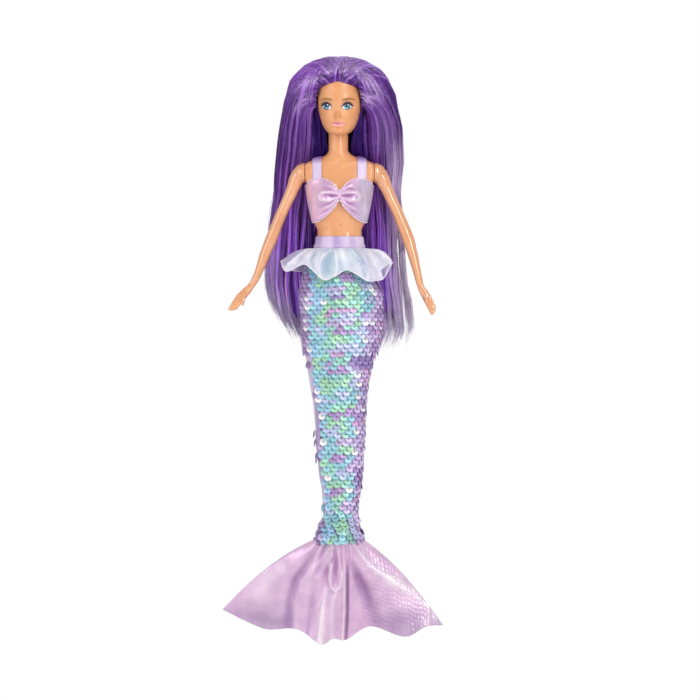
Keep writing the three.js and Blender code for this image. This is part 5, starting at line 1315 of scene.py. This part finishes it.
# Folds of the fin as seen from the front: points x, z, the rise towards the front, the half width
FIN_FOLDS = [
    [(-12, -189, -0.8, 1.4), (-19, -201, -2.0, 2.2), (-27, -213, -2.2, 2.6), (-31, -226, -1.9, 2.6),
     (-32.5, -246, -2.2, 3)],
    [(-5.2, -191, 0.8, 1.0), (-10, -198, 1.6, 1.2), (-16, -207, 1.2, 1.6), (-21, -218, 0.2, 2.4)],
    [(-8.5, -190, -1.2, 1.1), (-12, -200, -2.2, 1.6), (-14.5, -209, -0.8, 2)],
    [(-4.4, -200, -1.2, 1.0), (-8, -208, -1.8, 1.6), (-10, -216, -0.4, 1.8)],
    [(-3.6, -190, 1.2, 0.8), (-5.7, -202, 1.9, 1.1), (-6.3, -213, 1.9, 1.2), (-5, -217.6, 1.9, 1.3),
     (-2.3, -220, 1.9, 1.3), (0.2, -217.6, 1.9, 1.2), (1, -210, 1.7, 1.0), (0, -201, 1.6, 0.9),
     (-2, -190, 1.0, 0.8)],
    [(-2.7, -194, -0.8, 0.8), (-2.7, -206, -1.4, 1.3), (-2.6, -214, -0.8, 1.5)],
    [(-2.3, -220, 1.7, 1.3), (-4.2, -232, 1.5, 1.6), (-4.2, -251, 1.2, 1.8)],
    [(-8.2, -219, 0.6, 1.2), (-10.4, -232, 2.4, 2.4), (-12.0, -254, 3.0, 3.6)],
    [(-15, -214, -0.3, 2), (-17.5, -230, -1.5, 2.8), (-20, -250, -1.2, 3)],
    [(2.2, -190, 1.0, 0.9), (3.1, -205, 1.9, 1.0), (2.8, -232, 2.2, 1.2), (1.6, -252, 1.8, 1.2)],
    [(5.0, -200, -0.4, 0.6), (4.9, -210, -1.9, 0.75), (4.8, -232, -2.2, 0.75), (3.8, -252, -2.0, 0.8)],
    [(6.5, -189, 1.0, 0.8), (7.5, -196, 1.4, 1.0), (7.0, -201, 0.4, 1.0)],
    [(9, -191, 1.0, 1.2), (18.6, -204, 2.0, 2.4), (33, -213.5, 2.3, 3.6), (48, -222, 1.8, 4.2),
     (60, -234, 0.8, 4)],
    [(7.6, -202, -1.0, 1.6), (11.5, -211, -3.0, 3.0), (16, -221, -2.8, 3.8), (21, -234, -1.8, 4.5),
     (24, -246, -1.2, 5)],
    [(55, -222, 0.8, 1.0), (55.8, -244, 0.9, 1.2)],
    [(-62, -233, -0.8, 5), (-46, -240, -1.3, 5), (-38, -242, -0.9, 4)],
    [(34, -240, -1.2, 7), (46, -240, -1.2, 6)],
    [(-40, -206, 0.8, 6), (-48, -222, 1.0, 7)],
]


def fin_surface(u, v, side):
    """Fin panel: pleats at the ankles that open into a wide, waved hem. u runs from the doll's
    right tip to its left, v from the ankles to the hem."""
    hem = spline([(x, 0, z) for x, z in FIN_HEM], u.shape[-1])
    share = 2 * u - 1
    root = np.stack([14.2 * share, 0 * share, np.full(share.shape, TOE_Z - 4 + 0.8)], -1)
    control = (root + hem) / 2
    control[..., 2] += 10 * np.abs(share) ** 3
    t = v[..., None]
    point = root * (1 - t) ** 2 + control * 2 * t * (1 - t) + hem * t * t
    deep = (8.4 if side < 0 else 5) + 4.6
    around = np.sqrt(np.clip(1 - share**2, 0, 1)) * deep * (1 - v) ** 1.6
    x, z = point[..., 0], point[..., 2]
    fold = along_lines(x, z, FIN_FOLDS) * smooth(v, 0, 0.06)
    small = 0.35 * np.sin(38 * share + 3 * v) * bell(share, 0.6) * (1 - smooth(v, 0.15, 0.6))
    wave = 4 * np.sin(2.2 * math.pi * share) * v * v
    crinkle = 0.16 * np.sin(1.9 * x + 1.3 * z) * np.sin(0.9 * z - 1.1 * x + np.sin(0.7 * x))
    crinkle = crinkle * smooth(x, 5, 20)
    point[..., 1] = side * (around + 0.5) - fold - small + wave - crinkle
    return point, fold


def make_fin(name, node, side):
    """Metallic panel of the fin, in front (-1) or behind (1): a painted highlight on its folds, painted
    shade in its hollows, and painted shade, greyer, towards the outer hem"""
    rows, columns = 130, 300
    u = np.linspace(0, 1, columns)[None] + np.zeros((rows, 1))
    v = np.linspace(0, 1, rows)[:, None] + np.zeros((1, columns))
    points, fold = fin_surface(u, v, side)
    base, pale, painted_shade, grey_shade = tones("#ebc8e5", "#fff0f8", "#9a70a6", "#bcb0c8")
    # Painted shade: greyer low down towards the outer hem; painted highlight on the folds and painted shade
    # in the hollows
    lower = smooth(-points[..., 2], 222, 246) * 0.55 * smooth(np.abs(points[..., 0]), 14, 40)
    tint = toward(toward(base, grey_shade, lower), pale, np.clip(fold / 2.4, 0, 0.85))
    tint = toward(tint, painted_shade, np.clip(-fold / 3.4, 0, 0.8))
    fin = open_sheet(name, points, LAME, tint)
    face_way(fin, "y", side)
    thicken(fin, 0.22, -1)
    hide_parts(node)
    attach(fin, "tail")


# Ruffle

# Corners of the ruffle's hem, once round the doll
RUFFLE_HEM = [
    (-9, -20.6, -28.6), (4.6, -17.4, -19.6), (17.2, -19.6, -28.6), (27.6, -10, -26.6), (33.2, -2, -15.4),
    (26.6, 7.6, -20), (16, 16.6, -24), (4, 20, -21), (-8, 21, -25.4), (-20, 12.6, -21), (-29, 5.4, -21.6),
    (-37.2, -1, -14.2), (-33.6, -9, -22.2), (-21.6, -14, -16.2),
]

# Folds that run down the ruffle: place round the hem in steps of its rows, rise in mm, and width
RUFFLE_FOLDS = [
    (0, 1.3, 0.35), (0.6, -0.9, 0.25), (1.05, -1.0, 0.4), (1.55, 0.9, 0.22), (2.1, 1.2, 0.35),
    (2.65, -0.8, 0.25), (3.1, 1.1, 0.3), (3.6, -0.8, 0.25), (4.2, 0.8, 0.35), (5.1, -0.9, 0.35),
    (6.1, 1.0, 0.4), (7.1, -1.0, 0.4), (8.1, 1.0, 0.4), (9.1, -1.0, 0.4), (10.1, 0.9, 0.4),
    (11.05, -0.9, 0.3), (11.6, 1.2, 0.22), (12.3, -1.1, 0.25), (13.1, -1.2, 0.35), (13.55, 1.0, 0.22),
]

# Creases seen on the front of the ruffle: points x, z, how pale (or thin, below 0), the half width
RUFFLE_CREASES = [
    [(-18, -7, 0.8, 0.7), (-24, -10.5, 1.1, 0.7), (-31.5, -17, 1.1, 0.7)],
    [(-23, -8.6, -0.9, 1.6), (-29, -11.8, -1.2, 2.2), (-34.5, -16.5, -1.0, 2.0)],
    [(-15, -9, -0.5, 0.7), (-17.7, -15, -0.7, 0.8), (-16.2, -20, -0.4, 0.8)],
    [(-5.4, -8.5, 0.9, 0.6), (-10.2, -12, 1.1, 0.6), (-12.6, -17, 1.1, 0.6), (-12, -25, 0.8, 0.6)],
    [(-5.6, -10.6, -0.7, 2.0), (-7.6, -16, -1.1, 3.2), (-8, -22, -0.8, 3.0)],
    [(-2.8, -9.2, 0.7, 0.7), (-1.2, -18, 0.8, 0.8), (-2.5, -24, 0.5, 0.8)],
    [(1.3, -9.5, 0.6, 1.8), (4, -18.5, 0.7, 2.2)],
    [(9.5, -9, -0.8, 1.6), (12.4, -13, -1.0, 2.0), (14.2, -16.5, -0.5, 1.4)],
    [(14, -15, -0.7, 1.2), (16.5, -24, -0.9, 1.6)],
    [(8.0, -8.5, 0.8, 0.6), (13.5, -15, 0.9, 0.6), (18, -26, 0.7, 0.6)],
    [(17, -8.5, 0.5, 2.0), (23.5, -19, 0.6, 2.6)],
    [(21, -6.8, 0.7, 0.6), (31.8, -14.6, 0.8, 0.6)],
    [(31.5, -16.2, 1.2, 0.6), (24.4, -20.6, 1.2, 0.6), (26.6, -26, 1.0, 0.6)],
    [(30, -18, -1.0, 1.4), (27.6, -21.5, -1.3, 1.8), (28, -25, -1.0, 1.4)],
]


def make_ruffle():
    """Organza skirt gathered under the band, flaring to its waved hem, and the rolled hem on it. Its
    rows run straight from the waist to the hem and bow outwards as half a sine, each fold falls off as
    exp of the distance round the hem, and fine pleats fade out below the waist."""
    rows, columns = 50, 420
    corners = np.array(RUFFLE_HEM + RUFFLE_HEM[:1])
    steps = np.arange(columns)
    place = steps / columns * len(RUFFLE_HEM)
    edge = np.stack([np.interp(place, np.arange(len(corners)), corners[:, i]) for i in range(3)], 1)
    for _ in range(26):
        edge = (np.roll(edge, 1, 0) + 2 * edge + np.roll(edge, -1, 0)) / 4
    a = np.arctan2(edge[:, 1], edge[:, 0])
    root = outline(FIGURE, np.full(columns, SEAM_Z), a, 1.7)
    root[:, 2] = SEAM_Z + 1.0
    v = np.linspace(0, 1, rows)[:, None, None]
    points = root * (1 - v) + edge * v
    out = np.stack([np.cos(a), np.sin(a), 0 * a], 1)
    bow = np.sin(math.pi * v)
    pleat = 0.35 * np.sin(34 * steps / columns * TAU)[None, :, None]
    pleat = pleat * (1 - smooth(v, 0.05, 0.55)) * smooth(v, 0, 0.08)
    points = points + out * (1.6 * bow + pleat)
    points[..., 2] += 2.3 * bow[..., 0]
    half = len(RUFFLE_HEM) / 2
    begins, fades = smooth(v, 0.05, 0.5), 1 - 0.5 * smooth(v, 0.8, 1)
    for at, rise, wide in RUFFLE_FOLDS:
        off = np.hypot(np.abs((place - at + half) % (2 * half) - half), 0.05)
        fold = rise * np.exp(-off / wide)[None, :, None] * begins * fades
        points = points + np.array([0, 0, 1.0]) * fold * 0.9 + out * fold * 1.1
    front = points[..., 1] < 0
    crease = np.where(front, along_lines(points[..., 0], points[..., 2], RUFFLE_CREASES), 0)
    crease = crease + np.where(front, 0, 0.8 * np.sin(place * 4.4)) * v[..., 0]
    points = points + out * (0.5 * crease * smooth(v[..., 0], 0.03, 0.25))[..., None]
    milk, thick, blue, mauve, cool = tones("#f1eef6", "#fffbff", "#c4d8ea", "#bfafca", "#d0deec")
    x = points[..., 0]
    thin = toward(blue, mauve, smooth(np.abs(x), 20, 28))
    tint = toward(toward(milk, cool, 0.6 * bell(x, 14)), thick, np.clip(crease, 0, 1))
    ruffle = open_sheet("ruffle", points, ORGANZA, toward(tint, thin, np.clip(-crease, 0, 1)), wrap=True)
    face_way(ruffle, "z", 1)
    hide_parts("organza_ruffle")
    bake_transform(ruffle)
    loop = np.concatenate([points[-1], points[-1][:1]])[None]
    k = loop.shape[1]
    hem_size = np.full((1, k), 0.32)
    hem = make("ruffle_hem", *tubes(loop, np.tile([0.0, 0, 1], (1, k, 1)), hem_size, hem_size, sides=8), HEM)
    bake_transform(hem)


make_cup("cup_left", "bodice_cup_left", 1)
make_cup("cup_right", "bodice_cup_right", -1)
make_knot()
make_back_band()
make_strap("strap_left_satin", "strap_left", 1)
make_strap("strap_right_satin", "strap_right", -1)
make_waistband()
make_sleeve()
make_sequins()
make_fin("fin_front", "fluke_front", -1)
make_fin("fin_back", "fluke_back", 1)
make_ruffle()

# Hair

# Level sections of the hair: height, half width at the doll's right and left, middle y, depth
# behind and in front
HAIR_RINGS = [
    (111.5, 2, 2, 4, 2, 2), (110.3, 11, 11, 4, 8.5, 8.5), (106.7, 20, 19, 4.5, 15, 16.5),
    (102, 25.5, 26, 5, 19, 21), (97, 30.4, 30, 5.5, 20.5, 21.5), (92, 31.8, 31.8, 6.3, 21, 19.7),
    (87, 33, 33.6, 7.2, 21, 17.2), (82, 34.6, 34.2, 8.4, 20, 15), (77, 35.2, 35.5, 9.5, 19, 13.7),
    (67, 36, 37.8, 11, 16.5, 11), (57, 37, 38.2, 12.4, 14.6, 10.4), (47, 38.2, 38.8, 14.5, 12, 8),
    (37, 39.2, 38, 16, 11, 7.5), (27, 39.6, 37, 17, 10, 7.5), (17, 41.4, 38, 17.5, 9.6, 7.6),
    (0, 43.4, 39.2, 18, 9, 7.5), (-14, 44.4, 39.8, 19, 8.5, 7), (-28, 45.2, 40.2, 19.5, 8, 6.5),
    (-40, 43.2, 42, 19.5, 7, 6), (-50, 40.7, 43, 19.5, 6.5, 5.5), (-57, 37, 43.8, 19.5, 6, 5),
    (-70, 30, 38, 19.5, 6, 5),
]
# The crown seen from above: height of the hair at each reach from its middle
CROWN_REACH = [0, 0.16, 0.37, 0.51, 0.65, 0.75, 0.855, 0.96, 1.0, 2.0]
CROWN_Z = [111.3, 110.5, 106.7, 102, 97, 92, 87, 82, 80, 30]
# The hairline from the parting to the ear: place along it, and reach aside and to the front
HAIRLINE_S = [0, 0.25, 0.5, 0.75, 1.0]
HAIRLINE_X = [0, 0.25, 0.31, 0.335, 0.345]
HAIRLINE_Y = [-0.68, -0.725, -0.82, -0.89, -0.935]
# Ways of the hair from the hairline: place along it, then the second, third and last point of the
# curve, each its reach from the crown and its angle. The second angle is added to the root's.
WAYS = [
    (0, 0.36, 0, 0.85, 88, 1.0, 88), (0.03, 0.43, 20, 0.75, 60, 1.0, 68),
    (0.07, 0.49, 27, 0.7, 30, 1.0, 44), (0.12, 0.55, 27, 0.64, -4, 1.0, 18),
    (0.18, 0.62, 24, 0.66, -18, 1.0, 2), (0.25, 0.68, 21, 0.74, -28, 1.05, -11),
    (0.5, 0.8, 19, 0.9, -30, 1.25, -22), (0.75, 0.97, 14, 1.02, -50, 1.35, -51),
    (1.0, 1.0, 10, 1.08, -62, 1.4, -63),
]
# Where the hair ends across the width
TIP_X = [-46, -44, -37.5, -30, -23, -10, 0, 20, 36, 44]
TIP_Z = [-33, -36, -54, -62, -67, -68, -67, -64, -60, -57]
LOCKS = 46
# Streaks of light on the crown: points x, z, how strong, the half width
HAIR_SHINE = [
    [(0.5, 105.6, 0.7, 1.6), (9.5, 103.5, 1.3, 2.4), (16.6, 97.8, 1.4, 3.2), (21.6, 92, 1.0, 3.4),
     (26, 86, 0.3, 3)],
    [(13.6, 88, 0.8, 1.8), (17.5, 85.4, 1.1, 2.4), (22, 83.6, 0.4, 3)],
    [(-6, 102.4, 0.5, 2), (-13, 97.4, 0.75, 2.6), (-20.6, 95.8, 0.8, 2.8), (-27, 91, 0.3, 3)],
    [(-15, 88, 0.3, 2), (-21, 86, 0.5, 3), (-27, 80, 0.35, 3.6)],
    [(3, 99, 0.5, 1.6), (9, 95.4, 0.5, 1.6)],
]


def hair_point(z, angle, lift, arch):
    """Point of the hair's mass: level sections with their own half width on each side, and lift
    mm off them. arch runs from 0 at the crown to 1 where the hair hangs."""
    right, left, y0, back, front = (curve(HAIR_RINGS, i, z) for i in range(1, 6))
    c, s = np.cos(angle), np.sin(angle)
    x = np.where(c < 0, right, left) * np.sign(c) * np.abs(c) ** 0.86
    y = y0 + np.where(s < 0, front, back) * np.sign(s) * np.abs(s) ** 0.86
    swing = np.minimum(arch, 1) * math.pi / 2
    out = np.stack([c * np.sin(swing), s * np.sin(swing), np.cos(swing)], -1)
    return np.stack([x, y, z], -1) + out * np.asarray(lift)[..., None]


def hair_paths(s, side, root, lift, reach, crown, fall):
    """Paths of hair combed back from the hairline, over the crown and straight down: a cubic curve
    as seen from above, laid on the crown, then a fall that sways a little and gathers into locks. s
    places the root along one half of the hairline, side is -1 or 1, root pulls it up into the mass,
    and reach is how much short of the full length it ends. crown and fall are the steps of each part."""
    n = len(s)
    hx = np.interp(s, HAIRLINE_S, HAIRLINE_X) * root
    hy = np.interp(s, HAIRLINE_S, HAIRLINE_Y) * root
    p_root, a_root = np.hypot(hx, hy), np.arctan2(hy, hx)
    columns = np.transpose(WAYS)
    p_next, turn, p_third, a_third, p_end, a_end = (np.interp(s, columns[0], way) for way in columns[1:])
    a_end = np.radians(a_end)
    a_next, a_third = a_root + np.radians(turn), np.radians(a_third)
    spots = [(p_root, a_root), (p_next * root, a_next), (p_third, a_third), (p_end, a_end)]
    c0, c1, c2, c3 = (np.stack([p * np.cos(a), p * np.sin(a)], -1)[:, None] for p, a in spots)
    t = np.linspace(0, 1, crown)[None, :, None]
    q = c0 * (1 - t) ** 3 + c1 * 3 * t * (1 - t) ** 2 + c2 * 3 * t * t * (1 - t) + c3 * t**3
    q[..., 0] += 0.012 * bell(q[..., 0], 0.06) * smooth(-q[..., 1], 0.3, 0.6)
    q[..., 0] *= side[:, None]
    over = 0.09 * np.sin(733 * s + side) * bell(s, 0.04)
    q[..., 0] += over[:, None] * smooth(t[..., 0], 0.05, 0.45)
    arch = np.hypot(q[..., 0], q[..., 1])
    top = np.arctan2(q[..., 1], q[..., 0])
    z_top = np.interp(arch, CROWN_REACH, CROWN_Z)
    a_fall = np.arctan2(np.sin(a_end), np.cos(a_end) * side)
    guess = hair_point(np.full(n, -40.0), a_fall, np.zeros(n), np.ones(n))
    tip = np.interp(guess[:, 0], TIP_X, TIP_Z) + reach
    u = np.linspace(0, 1, fall + 1)[None, 1:]
    start = np.interp(p_end, CROWN_REACH, CROWN_Z)[:, None]
    z_fall = start + (tip[:, None] - start) * u
    lock = np.round((a_fall / TAU + 0.5) * LOCKS)
    middle = (lock / LOCKS - 0.5) * TAU
    behind = smooth(np.sin(a_fall), 0.1, 0.7)[:, None]
    gather = 0.72 * smooth(-z_fall, -62, 50) * (1 - 0.75 * behind)
    off = np.arctan2(np.sin(middle - a_fall), np.cos(middle - a_fall))
    tuft = lock[:, None]
    sway = 0.028 * np.sin(z_fall / 13 + 2.4 * tuft) + 0.02 * np.sin(z_fall / 31 + 1.3 * tuft)
    side_way = np.abs(np.sin(a_fall))[:, None] * (1 - 0.6 * behind) + 0.15
    a_low = a_fall[:, None] + off[:, None] * gather + sway * side_way * smooth(u, 0, 0.2)
    angle = np.concatenate([top, a_low], 1)
    z = np.concatenate([z_top, z_fall], 1)
    arch = np.concatenate([arch, np.ones_like(z_fall)], 1)
    turn = np.where(side < 0, 0.4, 2.1)
    flow = 0.5 * np.sin(67 * s + turn + 1.5 * np.sin(17 * s))
    flow = flow + 0.35 * np.sin(137 * s + 2 * turn) + 0.25 * np.sin(229 * s + turn)
    even = 0.35 + 0.65 * smooth(arch, 0.3, 0.8)
    rise = (np.asarray(lift)[:, None] + 0.75 * flow[:, None] * even) * smooth(np.arange(z.shape[1]), 0, 3)
    rise[:, crown:] += 0.8 * np.cos(off)[:, None] * gather - 0.5 * gather
    points = hair_point(z, angle, rise, arch)
    near = np.zeros_like(z)
    near[:, :crown] = (1 - t[..., 0] / 0.3).clip(0, 1) ** 2 * (np.asarray(root)[..., None] > 0.9)
    scalp = face_y(points[..., 0].clip(-12.4, 12.4), points[..., 2].clip(66, 106)) - 0.4
    points[..., 1] += (scalp - points[..., 1]).clip(0, 3.2) * near
    points = points + (turned(points) - points) * smooth(z, 60, 85)[..., None]
    return slit(points), flow, np.concatenate([np.zeros_like(z_top), u + 0 * z_fall], 1)


def slit_line(z):
    """Where the slit lies at height z: it slants out and down, then falls nearly straight"""
    return np.interp(-np.asarray(z), [-30, 4, 29, 75], [37, 34.2, 38.6, 41.5])


def slit(points):
    """Opens the slit that parts the outermost lock on the doll's left from the rest"""
    x, z = points[..., 0], points[..., 2]
    line = slit_line(z)
    where = np.argmin(np.abs(z + 26), axis=1)
    outer = np.take_along_axis(x, where[:, None], 1) > slit_line(-26)
    hole = 1.1 * smooth(-z, 3, 26) - 0.5 * smooth(-z, 34, 60)
    part = smooth(-z, -24, 8)
    over = x - line
    inward = over - np.maximum(over + hole, 0) * part
    outward = over + np.maximum(hole - over, 0) * part + 0.5 * np.maximum(over, 0) * smooth(-z, 8, 44)
    points[..., 0] = np.where((part > 0) & (x > 10), line + np.where(outer, outward, inward), x)
    return points


def beyond_slit(points):
    """Which paths belong to the lock beyond the slit"""
    where = np.argmin(np.abs(points[..., 2] + 30), axis=1)
    return np.take_along_axis(points[..., 0], where[:, None], 1)[:, 0] > slit_line(-30)


def hair_tint(points, flow, along, dark):
    """Purples in streaks that follow the hair, with painted light and shade: painted highlights where
    the crown catches the light and on raised locks, painted shade beside the cheeks, deep in the mass
    and at the back, and pale down the doll's left and at the tips"""
    n, k = points.shape[:2]
    x, y, z = points[..., 0], points[..., 1], points[..., 2]
    shades = np.array(tones("#7a40a8", "#8a54b8", "#9c69c9", "#7e49b0", "#ab80d4"))
    light, deep, pale, white, glow = tones("#ecd0f8", "#2a1060", "#e6d0ee", "#f6effa", "#5a34c0")
    dark, flow = np.asarray(dark)[:, None], np.asarray(flow)[:, None]
    tint = np.repeat(shades[rng.choice(5, n, p=[0.2, 0.3, 0.24, 0.18, 0.08])][:, None], k, 1)
    # Painted light and shade of the locks: brighter where the flow raises a lock, darker in the grooves
    # between
    wave = flow + 0.25 * np.sin(z / 17 + 9 * flow)
    # Painted light and shade by height: darker beside the neck and at the temples, lighter on the top of the
    # crown and down the lower and outer falls
    shade = 1 - 0.5 * bell(z - 60, 24) + 0.3 * smooth(-z, -10, 30) + 0.4 * smooth(-z, 22, 46)
    shade = shade + 0.3 * smooth(z, 88, 98) + 0.3 * smooth(-z, 14, 34) * smooth(np.abs(x), 24, 32)
    shade = shade - 0.12 * bell(z - 82, 10) * smooth(np.abs(x), 14, 22)
    deeper = 0.8 + 0.35 * bell(z - 78, 16)
    tint = tint * ((1 + deeper * wave).clip(0.22, 1.9) * shade)[..., None]
    # Painted highlight on the top of the crown
    tint = toward(tint, light, 0.42 * bell(x, 13) * smooth(z, 98, 102))
    # Painted shade: a darker band in the hair just above the hairline
    from_face = np.hypot(x / 13.5, (z - 80) / 16)
    tint = tint * (1 - 0.42 * bell(from_face - 1.06, 0.13) * smooth(z, 79, 86) * smooth(-y, 0, 4))[..., None]
    tint = tint * np.stack([1 + 0 * z, 1.05 + 0 * z, 0.9 + 0.12 * smooth(-z, -30, 20)], -1)
    front = smooth(-y, -8, 2)
    shine = along_lines(x, z, HAIR_SHINE) + 0.55 * bell(z - 50, 22) * smooth(x, 20, 30)
    shine = (shine + 0.3 * bell(z - 45, 24) * smooth(-x, 26, 36)) * front
    shine = shine * (0.45 + 1.2 * wave).clip(0, 1.7) * rng.uniform(0.4, 1.2, (n, 1))
    tint = toward(tint, light, np.clip(shine, 0, 0.95))
    # Painted shade: darker beside the cheeks and neck, on paths given more dark, and at the back
    hollow = bell(np.abs(x) - 11.5, 5.5) * bell(z - 65, 17)
    tint = toward(tint, deep, np.clip(dark + 0.85 * hollow + 0.25 * (y > 20), 0, 0.92))
    # Painted light: the back of the mass, seen through the gap beside the neck, is tinted bright violet so
    # that it reads violet in its shadow
    behind = smooth(y, 6, 12) * bell(x, 13) * smooth(np.abs(x), 3, 7) * bell(z - 56, 18) * (dark > 0.65)
    tint = toward(tint, glow, 0.9 * behind)
    outer = smooth(x, 28, 34) * smooth(-z, -70, -40) * (0.6 + 0.45 * rng.random((n, 1)) + 0.25 * wave)
    outer = outer + 0.6 * smooth(-x, 35, 42) * smooth(-z, -50, 10) * rng.random((n, 1))
    tint = toward(tint, pale, np.clip(outer * (1 - dark), 0, 0.95))
    beyond = smooth(x - slit_line(z), -0.5, 1.5) * smooth(-z, 0, 14) * (x > 28)
    tint = toward(tint, white, 0.9 * beyond * rng.uniform(0.7, 1, (n, 1)))
    faded = 0.6 * smooth(along, 0.55, 0.9) * rng.uniform(0.2, 1.0, (n, 1)) * smooth(np.abs(x), 16, 30)
    tint = toward(tint, light * 0.7, faded)
    tip = smooth(along, 0.8, 0.97) * rng.uniform(0.6, 1.0, (n, 1)) * smooth(np.abs(x), 12, 22)
    return toward(tint, white, tip).clip(0, 1)


def outwards(points):
    """Way out of the mass at each point of the paths, to lay flat locks against it"""
    middle = np.stack([0 * points[..., 0], 0 * points[..., 0] + 12, np.minimum(points[..., 2], 84)], -1)
    way = points - middle
    way[..., 1] *= 1.6
    loose = smooth(points[..., 0] - slit_line(points[..., 2]), -1, 1) * smooth(-points[..., 2], 0, 12)
    way[..., 0] *= 1 - 0.9 * loose
    way[..., 1] -= 30 * loose
    return way


def add_hair(name, paths, dark, wide, thick, sides=6, loose=0.0):
    """One object of tapering locks on the paths, of which only a share lie beyond the slit"""
    points, flow, along = paths
    keep = ~beyond_slit(points) | (rng.random(len(points)) < loose)
    points, flow, along, dark, wide, thick = (v[keep] for v in (points, flow, along, dark, wide, thick))
    t = np.linspace(0, 1, points.shape[1])[None]
    taper = np.clip(1.02 - smooth(t, 0.84, 1.0) * 0.8, 0.1, 1) * (0.35 + 0.65 * smooth(t, 0, 0.12))
    # dark is each path's share of painted shade, more for the layers deep in the mass
    tint = hair_tint(points, flow, along, dark)
    skin, faces = tubes(points, outwards(points), wide[:, None] * taper, thick[:, None] * taper, sides)
    item = make(name, skin, faces, HAIR, tint=np.repeat(tint.reshape(-1, 3), sides, 0))
    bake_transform(item)


def make_underlayer():
    """Inner skin of the mass, from the hairline to near the tips, that fills the gaps, darkened as painted
    shade
    """
    columns = 141
    place = np.linspace(-1, 1, columns)
    s, side = np.clip(np.abs(place), 0, 1) ** 1.35, np.where(place < 0, -1.0, 1.0)
    reach = rng.uniform(5, 19, columns)
    root, lift = np.full(columns, 0.995), np.full(columns, -2.0)
    points, flow, along = hair_paths(s, side, root, lift, reach, crown=24, fall=50)
    tint = hair_tint(points, flow, along * 0, np.full(columns, 0.7)).transpose(1, 0, 2)
    grid = points.transpose(1, 0, 2)
    faces = quads(*grid.shape[:2], wrap=False)
    flat = grid.reshape(-1, 3)[faces]
    across = flat[..., 0] - slit_line(flat[..., 2])
    split = (across.max(1) > -0.4) & (flat[..., 2].max(1) < 4)
    under = make("hair_inner", grid, faces[~split], HAIR, tint=tint, closed=False)
    thicken(under, 0.5, 0)
    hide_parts("hair_crown", "hair_back_fall", "hair_left_fall", "hair_right_fall")
    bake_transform(under)


def make_locks():
    """Broad locks, combed back from the hairline and from over it"""
    n = 400
    s = ((np.arange(n) + rng.uniform(-0.5, 0.5, n)).clip(0, n) / n) ** 1.35
    s[::4] = rng.uniform(0, 0.1, len(s[::4]))
    side = rng.choice([-1.0, 1.0], n)
    root = np.where(rng.random(n) < 0.6, 1.0, rng.uniform(0.45, 0.95, n))
    lift = rng.uniform(-1.5, -0.5, n)
    paths = hair_paths(s, side, root, lift, rng.uniform(1.5, 9, n), crown=20, fall=34)
    dark, wide, thick = rng.uniform(0, 0.45, n) ** 2, rng.uniform(1.0, 2.0, n), rng.uniform(0.4, 0.75, n)
    add_hair("hair_locks", paths, dark, wide, thick)


def make_front_locks():
    """Narrower locks that hang from beside the face"""
    n = 170
    s = rng.uniform(0.52, 1.0, n)
    side = rng.choice([-1.0, 1.0], n)
    lift, reach = rng.uniform(-1.0, -0.2, n), rng.uniform(1.5, 9, n)
    paths = hair_paths(s, side, np.ones(n), lift, reach, crown=20, fall=34)
    dark, wide, thick = rng.uniform(0, 0.4, n) ** 2, rng.uniform(0.7, 1.5, n), rng.uniform(0.3, 0.55, n)
    add_hair("hair_front_locks", paths, dark, wide, thick)


def make_inner_locks():
    """Locks that come from behind the cheeks and fill the mass beside the neck"""
    n = 110
    side = rng.choice([-1.0, 1.0], n)
    angle = np.radians(rng.uniform(-80, -58, n))
    angle = np.arctan2(np.sin(angle), np.cos(angle) * side)
    u = np.linspace(0, 1, 40)[None]
    tip = np.interp(44 * np.cos(angle), TIP_X, TIP_Z) + rng.normal(8, 6, n)
    start = rng.uniform(77, 92, n)
    z = start[:, None] + (tip - start)[:, None] * u
    sway = 0.03 * np.sin(z / 12 + np.arange(n)[:, None])
    lift = rng.uniform(-3.5, -0.8, n)[:, None] + 0 * z
    line = hair_point(z, angle[:, None] + sway, lift, np.ones_like(z))
    root = np.stack([side * rng.uniform(12.8, 19, n), rng.uniform(0, 8, n), start], 1)[:, None]
    blend = smooth(u, 0, 0.22)[..., None]
    points = np.concatenate([root[..., :2] * (1 - blend) + line[..., :2] * blend, line[..., 2:]], -1)
    points, flow = slit(points), rng.uniform(-1, 0.8, n)
    # Painted shade: these locks lie deep beside the neck and get more of it
    dark, wide, thick = rng.uniform(0.1, 0.7, n), rng.uniform(0.8, 1.8, n), rng.uniform(0.4, 0.7, n)
    add_hair("hair_inner_locks", (points, flow, u + 0 * z), dark, wide, thick)


def make_strands(name):
    """Fine strands over the locks, each wandering a little"""
    n = 800
    s = np.where(rng.random(n) < 0.25, rng.uniform(0, 0.1, n), rng.random(n) ** 1.3)
    side = rng.choice([-1.0, 1.0], n)
    root = np.where(rng.random(n) < 0.5, 1.0, rng.uniform(0.35, 1.0, n))
    lift = rng.uniform(-0.9, 0.55, n)
    points, flow, along = hair_paths(s, side, root, lift, rng.normal(1, 4.5, n), crown=14, fall=24)
    wander = rng.normal(0, 0.5, (n, 2))[:, None] * np.sin(along * rng.uniform(4, 12, (n, 1)))[..., None]
    points[..., :2] += wander
    size = rng.uniform(0.13, 0.26, n)
    dark = rng.uniform(-0.1, 0.35, n).clip(0, 1)
    add_hair(name, (points, flow, along), dark, size, size * 0.8, sides=3, loose=0.4)


def make_hair():
    """Long straight hair: an underlayer darkened as painted shade, locks over it, and fine strands over the
    locks
    """
    make_underlayer()
    make_locks()
    make_front_locks()
    make_inner_locks()
    for i in range(4):
        make_strands(f"hair_strands_{i}")


make_hair()

# Parts carried over from the CAD model

for node, finish in (("neck_knob", HARD), ("hip_pin", HARD), ("bodice_closure", TAPE)):
    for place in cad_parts[node].material_slots:
        place.material = finish
